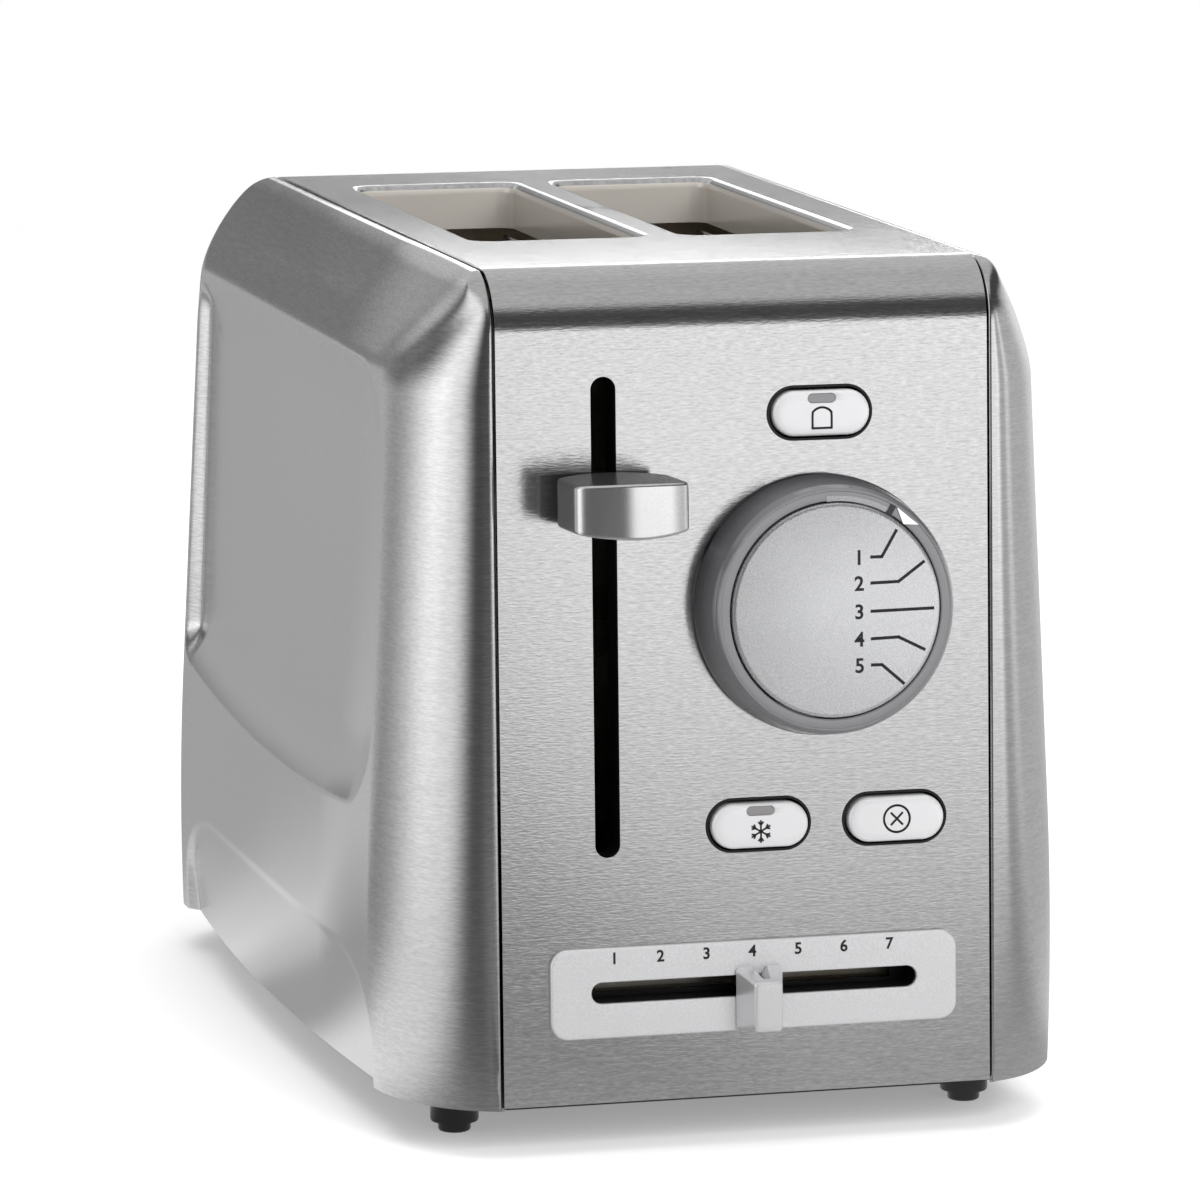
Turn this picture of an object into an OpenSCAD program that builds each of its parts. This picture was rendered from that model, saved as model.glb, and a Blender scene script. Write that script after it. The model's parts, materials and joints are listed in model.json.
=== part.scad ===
// Two-slice pop up toaster in brushed stainless steel.
// A bent cover makes the front, top and rear. Two drawn side panels close it.
// x runs to the right seen from the front, y runs from the front to the rear, z is up.

/* [Body] */
// Depth of the body along its lower edge
body_d = 266; // [256:1:290]
// Height of the top above the table
body_h = 196; // [192:1:210]
// Width of the cover between the two side seams
cover_w = 112.4; // [111:0.2:116]
// Distance from the middle to the side panel at its foot
side_reach = 81.2; // [78:0.2:86]
// Lean of the front and rear faces, in degrees
face_lean = 2.4; // [1.5:0.1:3]
// Inward lean of the side panels, in degrees
side_lean = 2.4; // [1.5:0.1:3]
// Radius of the roll between the front and the top
roll_r = 14; // [10:0.5:18]
// Radius of the roll between the top and the rear
rear_roll_r = 40; // [30:1:44]
// Thickness of the stainless sheet
sheet_t = 0.8; // [0.6:0.1:1]
// Height of the cover's lower edge above the table
cover_z = 11.6; // [11:0.1:13]
// Height of the side panels' lower edge above the table
panel_z = 11; // [10.2:0.1:11.4]
// Gap along the side seams
seam_gap = 0.3; // [0.1:0.1:0.5]

/* [Side panels] */
// Length over which a corner pillar rounds into the side
pillar_l = 26.5; // [22:0.5:50]
// Height over which a pillar's shoulder rounds into the side
shoulder_l = 28; // [24:0.5:42]
// Height of the crease under the sloping facet, below the top
crease_drop = 24; // [22:0.5:28]
// Depth of the scooped middle
scoop_depth = 2.8; // [1.5:0.1:4]
// Distance of the scoop's front and rear edges from the body's ends
scoop_inset = 31; // [28:1:40]
// Height of the scoop's lower edge at its corners
scoop_z = 74; // [66:1:84]
// Height of the arch over the lower zone
arch_z = 39; // [32:0.5:44]
// Distance of the arch's feet from the body's ends
arch_inset = 31; // [26:0.5:38]
// Depth of the step at the feet of the arch
arch_step = 1.4; // [1:0.1:3]
// Height over which the foot of the panel tucks under
tuck_rise = 60; // [40:1:80]
// Depth of the tuck at the foot
foot_tuck = 2.5; // [0:0.1:3.5]
// Width of the return flange along the seams
flange_w = 5; // [3:0.5:6]
// Columns of cells along a side panel
panel_cols = 44; // [24:2:48]
// Rows of cells up a side panel
panel_rows = 30; // [20:2:32]

/* [Toast slots] */
// Width of each toast slot
slot_w = 38.5; // [36:0.5:39]
// Distance of each toast slot from the chamber's end plates
slot_margin = 9; // [6:0.5:12]
// Width of the bridge between the slots
bridge_w = 10.5; // [10:0.5:12]
// Corner radius of a slot
slot_r = 4; // [3:0.5:8]
// Radius of the rolled rim
rim_r = 2.5; // [1.5:0.1:3]
// Depth of the turned-in rim
rim_d = 11; // [8:0.5:12]

/* [Toasting chamber] */
// Depth of the space in front of the chamber and behind it
end_room = 63; // [61:0.5:66]
// Thickness of the end plates and heat shields
plate_t = 1; // [0.8:0.1:1.4]
// Distance from the middle to the heat shields
shield_x = 52; // [51.5:0.1:52.5]
// Height of the end plates' lower edge above the table
chamber_z = 23; // [22.5:0.1:24]
// Thickness of a heater card
card_t = 0.8; // [0.6:0.1:1]
// Width of the resistance ribbon
ribbon_w = 2.2; // [1.6:0.1:3]
// Thickness of the resistance ribbon
ribbon_t = 0.4; // [0.3:0.1:0.5]
// Ribbon runs on each face of a card
ribbon_runs = 10; // [6:1:12]
// Diameter of the bread guide wires
wire_d = 1.6; // [1.2:0.1:2]
// Diameter of the bread guides' pivot rods
pivot_d = 2.4; // [2:0.1:2.8]
// Wires in each bread guide
guide_wires = 9; // [6:1:10]

/* [Bread carriage] */
// Height of the bread racks at rest above the table
rack_z = 108; // [106:1:110]
// Travel of the carriage down from rest
travel_down = 76; // [72:1:76]
// Travel of the carriage up from rest, to lift out small items
travel_up = 20; // [12:1:20]
// Width of a bread rack
rack_w = 14; // [10:1:16]
// Thickness of a bread rack's web
web_t = 1.5; // [1.2:0.1:2]
// Height of a bread rack's web
web_h = 6; // [5:0.5:7]
// Diameter of the carriage's guide rods
rod_d = 5; // [4:0.5:6]
// Running clearance on rods and pivots
run_gap = 0.05; // [0.03:0.01:0.08]
// Outside diameter of the lift spring
spring_d = 7; // [5:0.5:8]
// Wire diameter of the lift spring
spring_wire = 1.1; // [0.8:0.1:1.4]

/* [Lever] */
// Distance of the lever slot from the middle
lever_x = -32; // [-34:0.5:-31]
// Width of the lever slot
lever_slot_w = 5.7; // [5:0.1:7]
// Height of the lever knob's middle above the cover's edge at rest
lever_s = 135.2; // [134.5:0.1:136]
// Width of the lever knob
knob_w = 25.6; // [22:0.2:30]
// Height of the lever knob
knob_h = 12.2; // [10:0.1:13]
// Drop of the lever knob's middle below the lever arm's
knob_drop = 0.9; // [0:0.1:1.5]
// Bulge of the lever knob's front
knob_bulge = 3.5; // [2:0.1:5]
// Bow of the lever knob's underside
knob_bow = 1.4; // [0.5:0.1:2]
// Reach of the lever knob in front of the face
knob_reach = 28.2; // [25:0.1:30]
// Width of the lever arm
arm_t = 2; // [1.6:0.1:2.4]
// Height of the lever arm
arm_h = 8; // [6:0.5:8]

/* [Dial] */
// Distance of the dial from the middle
dial_x = 17; // [15:0.5:19]
// Height of the dial's middle above the cover's edge
dial_s = 109.3; // [107:0.1:111]
// Radius of the dial ring at the panel
dial_r = 29; // [27:0.2:30]
// Radius of the dial ring at its front
dial_front_r = 26.8; // [26.4:0.1:27]
// Radius of the fixed dial face
dial_face_r = 23.8; // [22:0.2:24]
// Height of the dial ring above the panel
dial_h = 13; // [11:0.5:15]
// Angle of the pointer at rest, above the horizontal
pointer_angle = 50.7; // [45:0.1:55]

/* [Keys] */
// Length of a key
key_w = 22.9; // [20:0.1:23]
// Height of a key
key_h = 10.8; // [9:0.1:11]
// Reach of a key in front of the panel
key_reach = 2; // [1.4:0.1:3]
// Travel of a key
key_travel = 1.2; // [0.8:0.1:1.4]
// Clearance round a key
key_gap = 0.2; // [0.15:0.05:0.3]
// Wall of the bezel round a key
bezel_t = 0.45; // [0.4:0.05:0.6]
// Height of the single key above the cover's edge
single_s = 151.8; // [150:0.1:153]
// Height of the lower keys above the cover's edge
lower_s = 60.6; // [58:0.1:62]
// Distance of the defrost key from the middle
defrost_x = 2.6; // [1:0.1:4]
// Distance of the cancel key from the middle
cancel_x = 34.1; // [32:0.1:36]

/* [Browning slider] */
// Distance of the slider's middle position from the middle
slider_x = 1.2; // [0:0.1:2]
// Height of the slider above the cover's edge
slider_s = 24.8; // [24:0.1:26]
// Length of the slider plate
plate_w = 93.7; // [90:0.1:96]
// Height of the slider plate
plate_h = 20.3; // [18:0.1:22]
// Corner radius of the slider plate
plate_r = 4; // [2:0.5:6]
// Thickness of the slider plate
plate_d = 1.4; // [1:0.1:2]
// Length of the slider slot
groove_w = 75; // [72:0.5:78]
// Height of the slider slot
groove_h = 4.7; // [4:0.1:5.5]
// Travel of the slider knob to each side
slider_travel = 31.8; // [28:0.1:32]
// Width of the slider knob
slide_knob_w = 8.8; // [7:0.1:10]
// Height of the slider knob
slide_knob_h = 12.6; // [10:0.1:14]
// Drop of the slider knob's middle below the slot's
slide_knob_drop = 2.8; // [0:0.1:3.5]
// Width and height of the slider knob's front over those at its plate
slide_knob_taper = 0.85; // [0.7:0.01:1]
// Depth of the slider knob in front of its plate
slide_knob_d = 8.6; // [6:0.1:10]

/* [Base] */
// Height of the base pan's underside above the table
base_z = 9.8; // [9:0.1:10]
// Thickness of the base pan
base_t = 2; // [1.6:0.1:2.2]
// Half width of the base pan
base_x = 73.4; // [71:0.1:73.8]
// Bulge of the base pan's sides
base_bulge = 3.4; // [0:0.1:3.6]
// Distance of the feet from the middle
foot_x = 60; // [56:0.5:61]
// Distance of the feet from the body's ends
foot_y = 31; // [28:0.5:34]
// Diameter of a foot
foot_d = 11; // [9:0.5:12]
// Diameter of a foot's tip
tip_d = 7.4; // [6:0.2:9]
// Height of a foot's tip
tip_h = 2.2; // [1.5:0.1:3]
// Half width of the crumb tray
tray_x = 49.5; // [48:0.1:50]
// Height of the crumb tray's rim
tray_h = 7; // [6:0.1:7.5]
// Reach of the cord gland behind the body
gland_reach = 6; // [4:0.5:8]
// Radius of the cord gland's bore
gland_r = 3.6; // [3:0.1:4]

/* [Hidden] */
$fn = 64;

sl = sin(face_lean);
cl = cos(face_lean);
roll_z = body_h - roll_r;
roll_y = (roll_r + (roll_z - cover_z) * sl) / cl;
rear_roll_z = body_h - rear_roll_r;
rear_roll_y = (rear_roll_r + (rear_roll_z - cover_z) * sl) / cl;
// the middle of the whole length, knob to gland, lies over the origin
front_y = -(body_d + gland_reach - knob_reach + lever_s * sl) / 2;

slot_x = (slot_w + bridge_w) / 2;
mid_y = body_d / 2;
plate_y0 = end_room;
plate_y1 = body_d - end_room;
chamber_l = plate_y1 - plate_y0;
slot_l = chamber_l - 2 * slot_margin;
chamber_top = body_h - rim_d - 0.5;
end_plate_x = shield_x + plate_t + 1;

guide_z0 = chamber_z + 8;
guide_z1 = chamber_top - 2;
guide_off = slot_w / 2 - 1.5;
card_z0 = guide_z0 + 3;
card_z1 = chamber_top - 6;
outer_card_x = shield_x - 3.5;

bracket_h = -42;
bracket_t = 1.5;
rod_h = bracket_h - bracket_t - rod_d / 2 - 2.5;
rod_x = 14;
crossbar_h = 15;
crossbar_s = (rack_z - (web_h + 1) / 2 - cover_z - (bracket_h - bracket_t / 2) * sl) / cl;
boss_r = rod_d / 2 + 2;
rod_hole_r = rod_d / 2 + run_gap;
keeper_s = crossbar_s + crossbar_h / 2;
keeper_h = rod_h - 2.5;
// the core's poles end just under the keeper with the carriage right down
magnet_y = (keeper_s - travel_down) * sl - keeper_h * cl;
magnet_top = cover_z + (keeper_s - 3.5 - travel_down) * cl + keeper_h * sl - 0.4;
magnet_w = 16;
pole_w = 5;
core_d = 9;
tab_z = chamber_top - 5;
tab_s = (tab_z - cover_z - rod_h * sl) / cl;
tab_y = tab_s * sl - rod_h * cl - boss_r - 2;

carrier_h = -sheet_t - 0.2;
carrier_t = 2.4;
carrier_back = carrier_h - carrier_t;
board_h = carrier_back - 12.8;
board_t = 1.6;
post_r = 3;
encoder_r = 15;
hub_r = 9;
sleeve_r = hub_r + 2.4;
stem_r = 4.95;
bezel_out = key_gap + bezel_t;
flange_out = bezel_out + 0.6;

base_y = 6;
base_top = 21;
base_r = 22;
floor_z = base_z + base_t;
tray_y0 = plate_y0 + 3;
tray_z0 = floor_z + 0.3;
rib_x0 = tray_x + 1.5;
screw_x = 60;
screw_y = 62;

// outline of the control carrier: an upright part and a wing under the lever slot
carrier_left = lever_x + 12;
carrier_right = cover_w / 2 - 4.2;
carrier_low = slider_s - plate_h / 2 - 6.6;
carrier_high = single_s + key_h / 2 + 9;
wing_left = slider_x - plate_w / 2 - 3.3;
wing_high = slider_s + plate_h / 2 + 7;
board_edge = 1.2;
// posts that hold the circuit board, across and up the face
post_in = 5;
posts = [[carrier_left + post_in, carrier_high - post_in],
         [carrier_right - post_in, carrier_high - post_in],
         [carrier_right - post_in, lower_s + key_h / 2 + 12],
         [carrier_left + post_in, lower_s + key_h / 2 + 12],
         [wing_left + post_in, wing_high - post_in],
         [carrier_right - post_in, carrier_low + post_in]];
// ends of the lever slot
lever_low = lever_s - travel_down - arm_h / 2 - 0.4;
lever_high = lever_s + travel_up + arm_h / 2 + 2.1;

seam_x = cover_w / 2 + seam_gap;
foot_boss_r = 5;
foot_boss_h = 7;
pot_w = 2 * slider_travel + 18;
pot_l = 8.5;
pot_h = 4.4;
lens_w = 6.6;
lens_l = 2.2;
scoop_wall = 19;
round_power = 1.7;
shoulder_power = 1.56;
mitre_y = 54.5;
scoop_sag = 6.5;
mitre_run = 1.56;
hem_w = 1.2;

// ---- helpers ----

module seat() {
  translate([0, front_y, 0]) children();
}

// x along the front face, y up the face, z out of the face
module on_face(x = 0, s = 0, h = 0) {
  seat()
    translate([0, 0, cover_z]) rotate([90 - face_lean, 0, 0])
      translate([x, s, h]) children();
}

module on_rear(x = 0, s = 0, h = 0) {
  seat()
    translate([0, body_d, cover_z]) rotate([90 - face_lean, 0, 180])
      translate([-x, s, h]) children();
}

module rounded_rect(w, l, r) {
  square([w - 2 * r, l], center = true);
  square([w, l - 2 * r], center = true);
  for (i = [-1, 1], j = [-1, 1])
    translate([i * (w / 2 - r), j * (l / 2 - r)]) circle(r);
}

module pill(w, h) {
  square([w - h, h], center = true);
  for (i = [-1, 1])
    translate([i * (w - h) / 2, 0]) circle(h / 2);
}

module prism(h0, h1) {
  translate([0, 0, h0]) linear_extrude(h1 - h0) children();
}

// a block from one rectangle at height h0 to another at height h1
module taper(size0, size1, h0, h1) {
  corners = [[-0.5, -0.5], [0.5, -0.5], [0.5, 0.5], [-0.5, 0.5]];
  pts = [for (q = [[size0, h0], [size1, h1]], c = corners) [c[0] * q[0][0], c[1] * q[0][1], q[1]]];
  walls = [for (k = [0:3]) let(n = (k + 1) % 4) [k, k + 4, n + 4, n]];
  polyhedron(pts, concat([[0, 1, 2, 3], [7, 6, 5, 4]], walls));
}

// a rod up the face, from s0 to s1
module rail(x, h, r, s0, s1) {
  translate([x, s0, h]) rotate([-90, 0, 0]) cylinder(h = s1 - s0, r = r);
}

module box(lo, hi) {
  translate(lo) cube(hi - lo);
}

// a cylinder along y
module bar_y(x, z, r, y0, y1) {
  translate([x, y0, z]) rotate([-90, 0, 0]) cylinder(h = y1 - y0, r = r);
}

// ---- cover ----

// the closed outline of the body seen from the side, drawn in by an inset
module body_outline(inset, foot = 0) {
  y_foot = inset / cl - foot * sl / cl;
  front_r = roll_r - inset;
  rear_r = rear_roll_r - inset;
  rear_y = body_d - rear_roll_y;
  polygon([[y_foot, cover_z - foot], [roll_y - front_r * cl, roll_z + front_r * sl],
           [roll_y, body_h - inset], [rear_y, body_h - inset],
           [rear_y + rear_r * cl, rear_roll_z + rear_r * sl], [body_d - y_foot, cover_z - foot]]);
  translate([roll_y, roll_z]) circle(front_r);
  translate([rear_y, rear_roll_z]) circle(rear_r);
}

module across(w) {
  rotate([90, 0, 90]) linear_extrude(w, center = true) children();
}

// section of the rolled rim: x is the distance from the slot's edge
module rim_section() {
  difference() {
    translate([rim_r, body_h - rim_r]) circle(rim_r);
    translate([rim_r, body_h - rim_r]) circle(rim_r - sheet_t);
    translate([rim_r, body_h - 3 * rim_r]) square(4 * rim_r);
    translate([-rim_r, body_h - 3 * rim_r]) square([4 * rim_r, 2 * rim_r]);
  }
  translate([0, body_h - rim_d]) square([sheet_t, rim_d - rim_r]);
  translate([rim_r, body_h - sheet_t]) square([0.4, sheet_t]);
}

module slot_rim() {
  for (k = [0:3]) {
    half_x = (k % 2 == 0) ? slot_w / 2 : slot_l / 2;
    half_y = (k % 2 == 0) ? slot_l / 2 : slot_w / 2;
    rotate([0, 0, 90 * k]) {
      translate([half_x, 0, 0]) rotate([90, 0, 0])
        linear_extrude(2 * (half_y - slot_r), center = true) rim_section();
      translate([half_x - slot_r, half_y - slot_r, 0])
        rotate_extrude(angle = 90) translate([slot_r, 0]) rim_section();
    }
  }
}

module key_hole(extra) {
  offset_w = 2 * (bezel_out + extra);
  pill(key_w + offset_w, key_h + offset_w);
}

module at_keys() {
  on_face(dial_x + 0.4, single_s) children();
  on_face(defrost_x, lower_s) children();
  on_face(cancel_x, lower_s) children();
}

module front_cuts() {
  at_keys() prism(-6, 4) key_hole(0.1);
  on_face(dial_x, dial_s) prism(-6, 4) circle(sleeve_r + 1);
  on_face(slider_x, slider_s) prism(-6, 4) square([groove_w + 2.5, groove_h + 2.3], center = true);
  on_face(lever_x, (lever_low + lever_high) / 2)
    prism(-6, 4) rotate(90) pill(lever_high - lever_low, lever_slot_w);
}

module wrap_cover() {
  color("silver") difference() {
    union() {
      difference() {
        seat() across(cover_w) difference() {
          body_outline(0);
          body_outline(sheet_t, 1);
        }
        for (i = [-1, 1])
          seat() translate([i * slot_x, mid_y, body_h - 3]) linear_extrude(6)
            rounded_rect(slot_w + 2 * rim_r, slot_l + 2 * rim_r, slot_r + rim_r);
      }
      for (i = [-1, 1])
        seat() translate([i * slot_x, mid_y, 0]) slot_rim();
    }
    front_cuts();
    // notch for the crumb tray and hole for the cord gland
    seat() box([-tray_x - 2, body_d - 8, cover_z - 2], [tray_x + 2, body_d + 4, base_top + 2]);
    on_rear(-40, 30) prism(-6, 4) circle(gland_r + 3.1);
  }
}

// ---- side panels ----

function unit(v) = min(1, max(0, v));
function ease(v) = let(t = unit(v)) t * (2 - t);
function soft_min(a, b, r) = let(h = unit(0.5 + 0.5 * (b - a) / r)) b + (a - b) * h - r * h * (1 - h);
// how far a rounding has risen at a distance from its edge, from 0 to 1
function rise(v, power) = pow(max(0, 1 - pow(1 - unit(v), power)), 1 / power);

// boundaries of the panel at a height, from the body's front and from its rear
function rolled_edge(z, r, y_top, z_low) =
  z < z_low ? (z - cover_z) * sl / cl : y_top - sqrt(max(0, r * r - (z - z_low) * (z - z_low)));
function edge_y(z) = rolled_edge(z, roll_r, roll_y, roll_z);
function rear_edge_y(z) = rolled_edge(z, rear_roll_r, rear_roll_y, rear_roll_z);
function end_dist(y) = min(y, body_d - y);
function along(y) = (y - mid_y) / (mid_y - scoop_inset);

// distance inside a rounded outline, from its half sizes and corner radius
function inside(dx, dz, r) =
  let(qx = r - dx, qz = r - dz)
  r - norm([max(qx, 0), max(qz, 0)]) - min(max(qx, qz), 0);

function scoop(y, z) =
  let(low = scoop_z - scoop_sag * (1 - along(y) * along(y)),
      top = body_h - crease_drop,
      dx = end_dist(y) - scoop_inset,
      dz = min(z - low, top - z))
  scoop_depth * ease(inside(dx, dz, 24) / scoop_wall);

function arch(y, z) =
  let(dx = end_dist(y) - arch_inset,
      d = inside(dx * 0.55, arch_z - z, 19))
  arch_step * pow(along(y), 2) * unit(d / 2.5) + 0.8 * unit((arch_z - z) / 28) * unit(d / 2.5);

// the foot of the panel tucks under towards its corners
function tuck(y, z) =
  foot_tuck * pow(1 - unit((z - panel_z) / tuck_rise), 2) * min(1, pow(along(y), 2));

// distance of the skin from the seam plane
function skin(y, z) =
  let(e = body_h - z,
      d = min(y - edge_y(z), body_d - y - rear_edge_y(z)),
      w = side_reach - seam_x - (z - panel_z) * tan(side_lean),
      pillar = w * rise(d / pillar_l, round_power),
      facet = 3 * rise(e / 4, 2) + e * (side_reach - seam_x - 9.5) / crease_drop,
      middle = soft_min(facet, pillar, 0.8),
      corner = pillar * rise(e / shoulder_l, shoulder_power),
      mitre = mitre_y - mitre_run * (crease_drop - e),
      blend = ease((mitre - y) / 20),
      base = (e >= body_h - panel_z || e <= 0) ? corner : middle + (corner - middle) * blend)
  max(0, base - scoop(y, z) - arch(y, z) - tuck(y, z));

function row_z(j) =
  let(t = j / panel_rows)
  panel_z + (body_h - seam_gap - panel_z) * (0.5 * t + 0.5 * (1 - pow(1 - t, 2.4)));
function col_y(i, z) =
  let(a = i / panel_cols,
      f = 0.85 * (0.5 - 0.5 * cos(180 * a)) + 0.15 * a,
      y0 = edge_y(z) + 0.01,
      y1 = rear_edge_y(z) + 0.01)
  y0 + f * (body_d - y0 - y1);

module side_skin() {
  nc = panel_cols;
  nr = panel_rows;
  w = nc + 1;
  n = w * (nr + 1);
  on_seam = function(i, j) i == 0 || i == nc || j == nr;
  skin_pts = [for (j = [0:nr], i = [0:nc])
    let(z = row_z(j), y = col_y(i, z))
    [seam_x + (on_seam(i, j) ? 0 : skin(y, z)), y, z]];
  at = function(i, j) skin_pts[w * j + i];
  // outward direction in the seam plane, for the points on the seam
  rim_dir = function(i, j)
    let(p = at(i, j),
        front = p[1] < mid_y ? 1 : -1,
        y = front > 0 ? p[1] : body_d - p[1],
        r = front > 0 ? roll_r : rear_roll_r,
        y_top = front > 0 ? roll_y : rear_roll_y,
        z_low = front > 0 ? roll_z : rear_roll_z)
    p[2] <= z_low ? [0, -cl * front, sl]
    : y >= y_top ? [0, 0, 1]
    : [0, front * (y - y_top) / r, (p[2] - z_low) / r];
  normal = function(i, j)
    let(a = at(min(nc, i + 1), j) - at(max(0, i - 1), j),
        b = at(i, min(nr, j + 1)) - at(i, max(0, j - 1)),
        v = cross(a, b))
    v / norm(v);
  inner_pts = [for (j = [0:nr], i = [0:nc])
    let(d = on_seam(i, j) ? rim_dir(i, j) : normal(i, j))
    at(i, j) - sheet_t * d + [on_seam(i, j) ? sheet_t : 0, 0, j == 0 ? sheet_t : 0]];
  // the loop round the panel: up the front, over the top, down the rear and back along the foot
  loop = concat([for (j = [0:nr]) [0, j]], [for (i = [1:nc]) [i, nr]],
                [for (j = [nr - 1:-1:0]) [nc, j]], [for (i = [nc - 1:-1:1]) [i, 0]]);
  m = len(loop);
  tip = [for (k = [0:m - 1])
    let(i = loop[k][0], j = loop[k][1],
        d = on_seam(i, j) ? rim_dir(i, j) : normal(i, 0),
        flat = [d[0], d[1], 0])
    at(i, j) - (on_seam(i, j) ? flange_w * d : hem_w * flat / norm(flat))];
  tip_in = [for (k = [0:m - 1])
    let(i = loop[k][0], j = loop[k][1])
    tip[k] + [on_seam(i, j) ? sheet_t : 0, 0, j == 0 ? sheet_t : 0]];
  pts = concat(skin_pts, inner_pts, tip, tip_in);
  quads = concat(
    [for (j = [0:nr - 1], i = [0:nc - 1])
      [w * j + i, w * (j + 1) + i, w * (j + 1) + i + 1, w * j + i + 1]],
    [for (j = [0:nr - 1], i = [0:nc - 1])
      [n + w * j + i, n + w * j + i + 1, n + w * (j + 1) + i + 1, n + w * (j + 1) + i]],
    [for (k = [0:m - 1])
      let(p = loop[k], q = loop[(k + 1) % m], k2 = (k + 1) % m)
      [w * p[1] + p[0], 2 * n + k, 2 * n + k2, w * q[1] + q[0]]],
    [for (k = [0:m - 1])
      let(k2 = (k + 1) % m)
      [2 * n + k, 2 * n + m + k, 2 * n + m + k2, 2 * n + k2]],
    [for (k = [0:m - 1])
      let(p = loop[k], q = loop[(k + 1) % m], k2 = (k + 1) % m)
      [2 * n + m + k, n + w * p[1] + p[0], n + w * q[1] + q[0], 2 * n + m + k2]]);
  polyhedron(pts, [for (q = quads, t = [[q[0], q[1], q[2]], [q[0], q[2], q[3]]]) t]);
}

module right_side_panel() {
  color("silver") seat() side_skin();
}

module left_side_panel() {
  color("silver") seat() mirror([1, 0, 0]) side_skin();
}

// ---- base ----

module base_outline(inset) {
  half_l = mid_y - base_y - base_r;
  translate([0, mid_y]) {
    rounded_rect(2 * (base_x - inset), body_d - 2 * (base_y + inset), base_r - inset);
    for (i = [-1, 1])
      polygon([for (k = [-6:6]) [i * (base_x - inset + base_bulge * (1 - pow(k / 6, 2))), half_l * k / 6]]);
  }
}

module at_corners(x, y) {
  seat() for (i = [-1, 1], j = [y, body_d - y])
    translate([i * x, j, 0]) children();
}

module base_pan() {
  color("#1c1c1e") difference() {
    union() {
      seat() prism(base_z, floor_z) base_outline(0);
      seat() prism(base_z, base_top) difference() {
        base_outline(0);
        base_outline(base_t);
      }
      at_corners(foot_x, foot_y) prism(base_z, base_z + foot_boss_h) circle(foot_boss_r);
      at_corners(screw_x, screw_y) prism(base_z, chamber_z - 2) circle(4.5);
      // rib across the front and rails beside the tray carry the end plates
      seat() box([-end_plate_x, plate_y0 - plate_t - 2, base_z], [end_plate_x, plate_y0 + 1, chamber_z]);
      seat() for (i = [-1, 1])
        translate([i * (rib_x0 + end_plate_x) / 2, 0, 0])
          box([-(end_plate_x - rib_x0) / 2, plate_y0, base_z],
              [(end_plate_x - rib_x0) / 2, body_d - base_y - base_t, chamber_z]);
      // sockets for the guide rods
      on_face() for (i = [-1, 1])
        rail(i * rod_x, rod_h, boss_r, floor_z - cover_z + 0.6, 6);
    }
    at_corners(foot_x, foot_y) prism(base_z - 1, base_z + 5) circle(2.55);
    at_corners(screw_x, screw_y) prism(base_z - 1, base_z + 1.6) circle(3.4);
    at_corners(screw_x, screw_y) prism(base_z - 1, base_z + 9) circle(1.55);
    on_face() for (i = [-1, 1])
      rail(i * rod_x, rod_h, rod_hole_r, 1.4, 8);
    seat() box([-tray_x - 2, body_d - base_y - base_t - 1, floor_z], [tray_x + 2, body_d, base_top + 1]);
  }
}

module foot() {
  color("#141414") {
    cylinder(h = tip_h, d = tip_d);
    translate([0, 0, tip_h]) cylinder(h = base_z - tip_h, d = foot_d);
    translate([0, 0, base_z]) cylinder(h = 4.5, r = 2.5);
  }
}

module foot_at(i, y) {
  seat() translate([i * foot_x, y, 0]) foot();
}
module foot_front_left() { foot_at(-1, foot_y); }
module foot_front_right() { foot_at(1, foot_y); }
module foot_rear_left() { foot_at(-1, body_d - foot_y); }
module foot_rear_right() { foot_at(1, body_d - foot_y); }

module base_screws() {
  color("gray") at_corners(screw_x, screw_y) {
    translate([0, 0, base_z + 0.4]) cylinder(h = 1.2, r = 3.2);
    translate([0, 0, base_z + 1.6]) cylinder(h = 7, r = 1.5);
  }
}

module crumb_tray() {
  tray_y1 = body_d - 1;
  color("#8d8f92") seat() difference() {
    union() {
      box([-tray_x, tray_y0, tray_z0], [tray_x, tray_y1, tray_z0 + tray_h]);
      box([-tray_x - 1, tray_y1, tray_z0], [tray_x + 1, tray_y1 + 1.6, base_top + 1.2]);
      // finger lip
      box([-18, tray_y1 + 1.6, base_top - 3], [18, body_d + gland_reach - 2, base_top - 1]);
    }
    box([-tray_x + 1, tray_y0 + 1, tray_z0 + 1], [tray_x - 1, tray_y1 - 1, tray_z0 + tray_h + 1]);
  }
}

module cord_gland() {
  color("#18181a") on_rear(-40, 30) difference() {
    union() {
      prism(-sheet_t - 4, gland_reach + 1.2) circle(gland_r + 3);
      prism(0.1, 2.4) circle(gland_r + 5);
      prism(-sheet_t - 3, -sheet_t - 0.2) circle(gland_r + 4.2);
    }
    prism(-sheet_t - 6, gland_reach + 4) circle(gland_r);
  }
}

// ---- toasting chamber ----

function guide_x(side, part) = side * slot_x + part * guide_off;

module end_plate_blank(y0) {
  box([-end_plate_x, y0, chamber_z], [end_plate_x, y0 + plate_t, chamber_top]);
}

module plate_openings(y0) {
  for (side = [-1, 1]) {
    // the bread racks travel in these slots
    box([side * slot_x - web_t / 2 - 0.8, y0 - 1, rack_z - web_h - travel_down - 1.5],
        [side * slot_x + web_t / 2 + 0.8, y0 + plate_t + 1, rack_z + travel_up + 2.5]);
    for (part = [-1, 1])
      bar_y(guide_x(side, part), guide_z0, pivot_d / 2 + run_gap, y0 - 1, y0 + plate_t + 1);
  }
}

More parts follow.
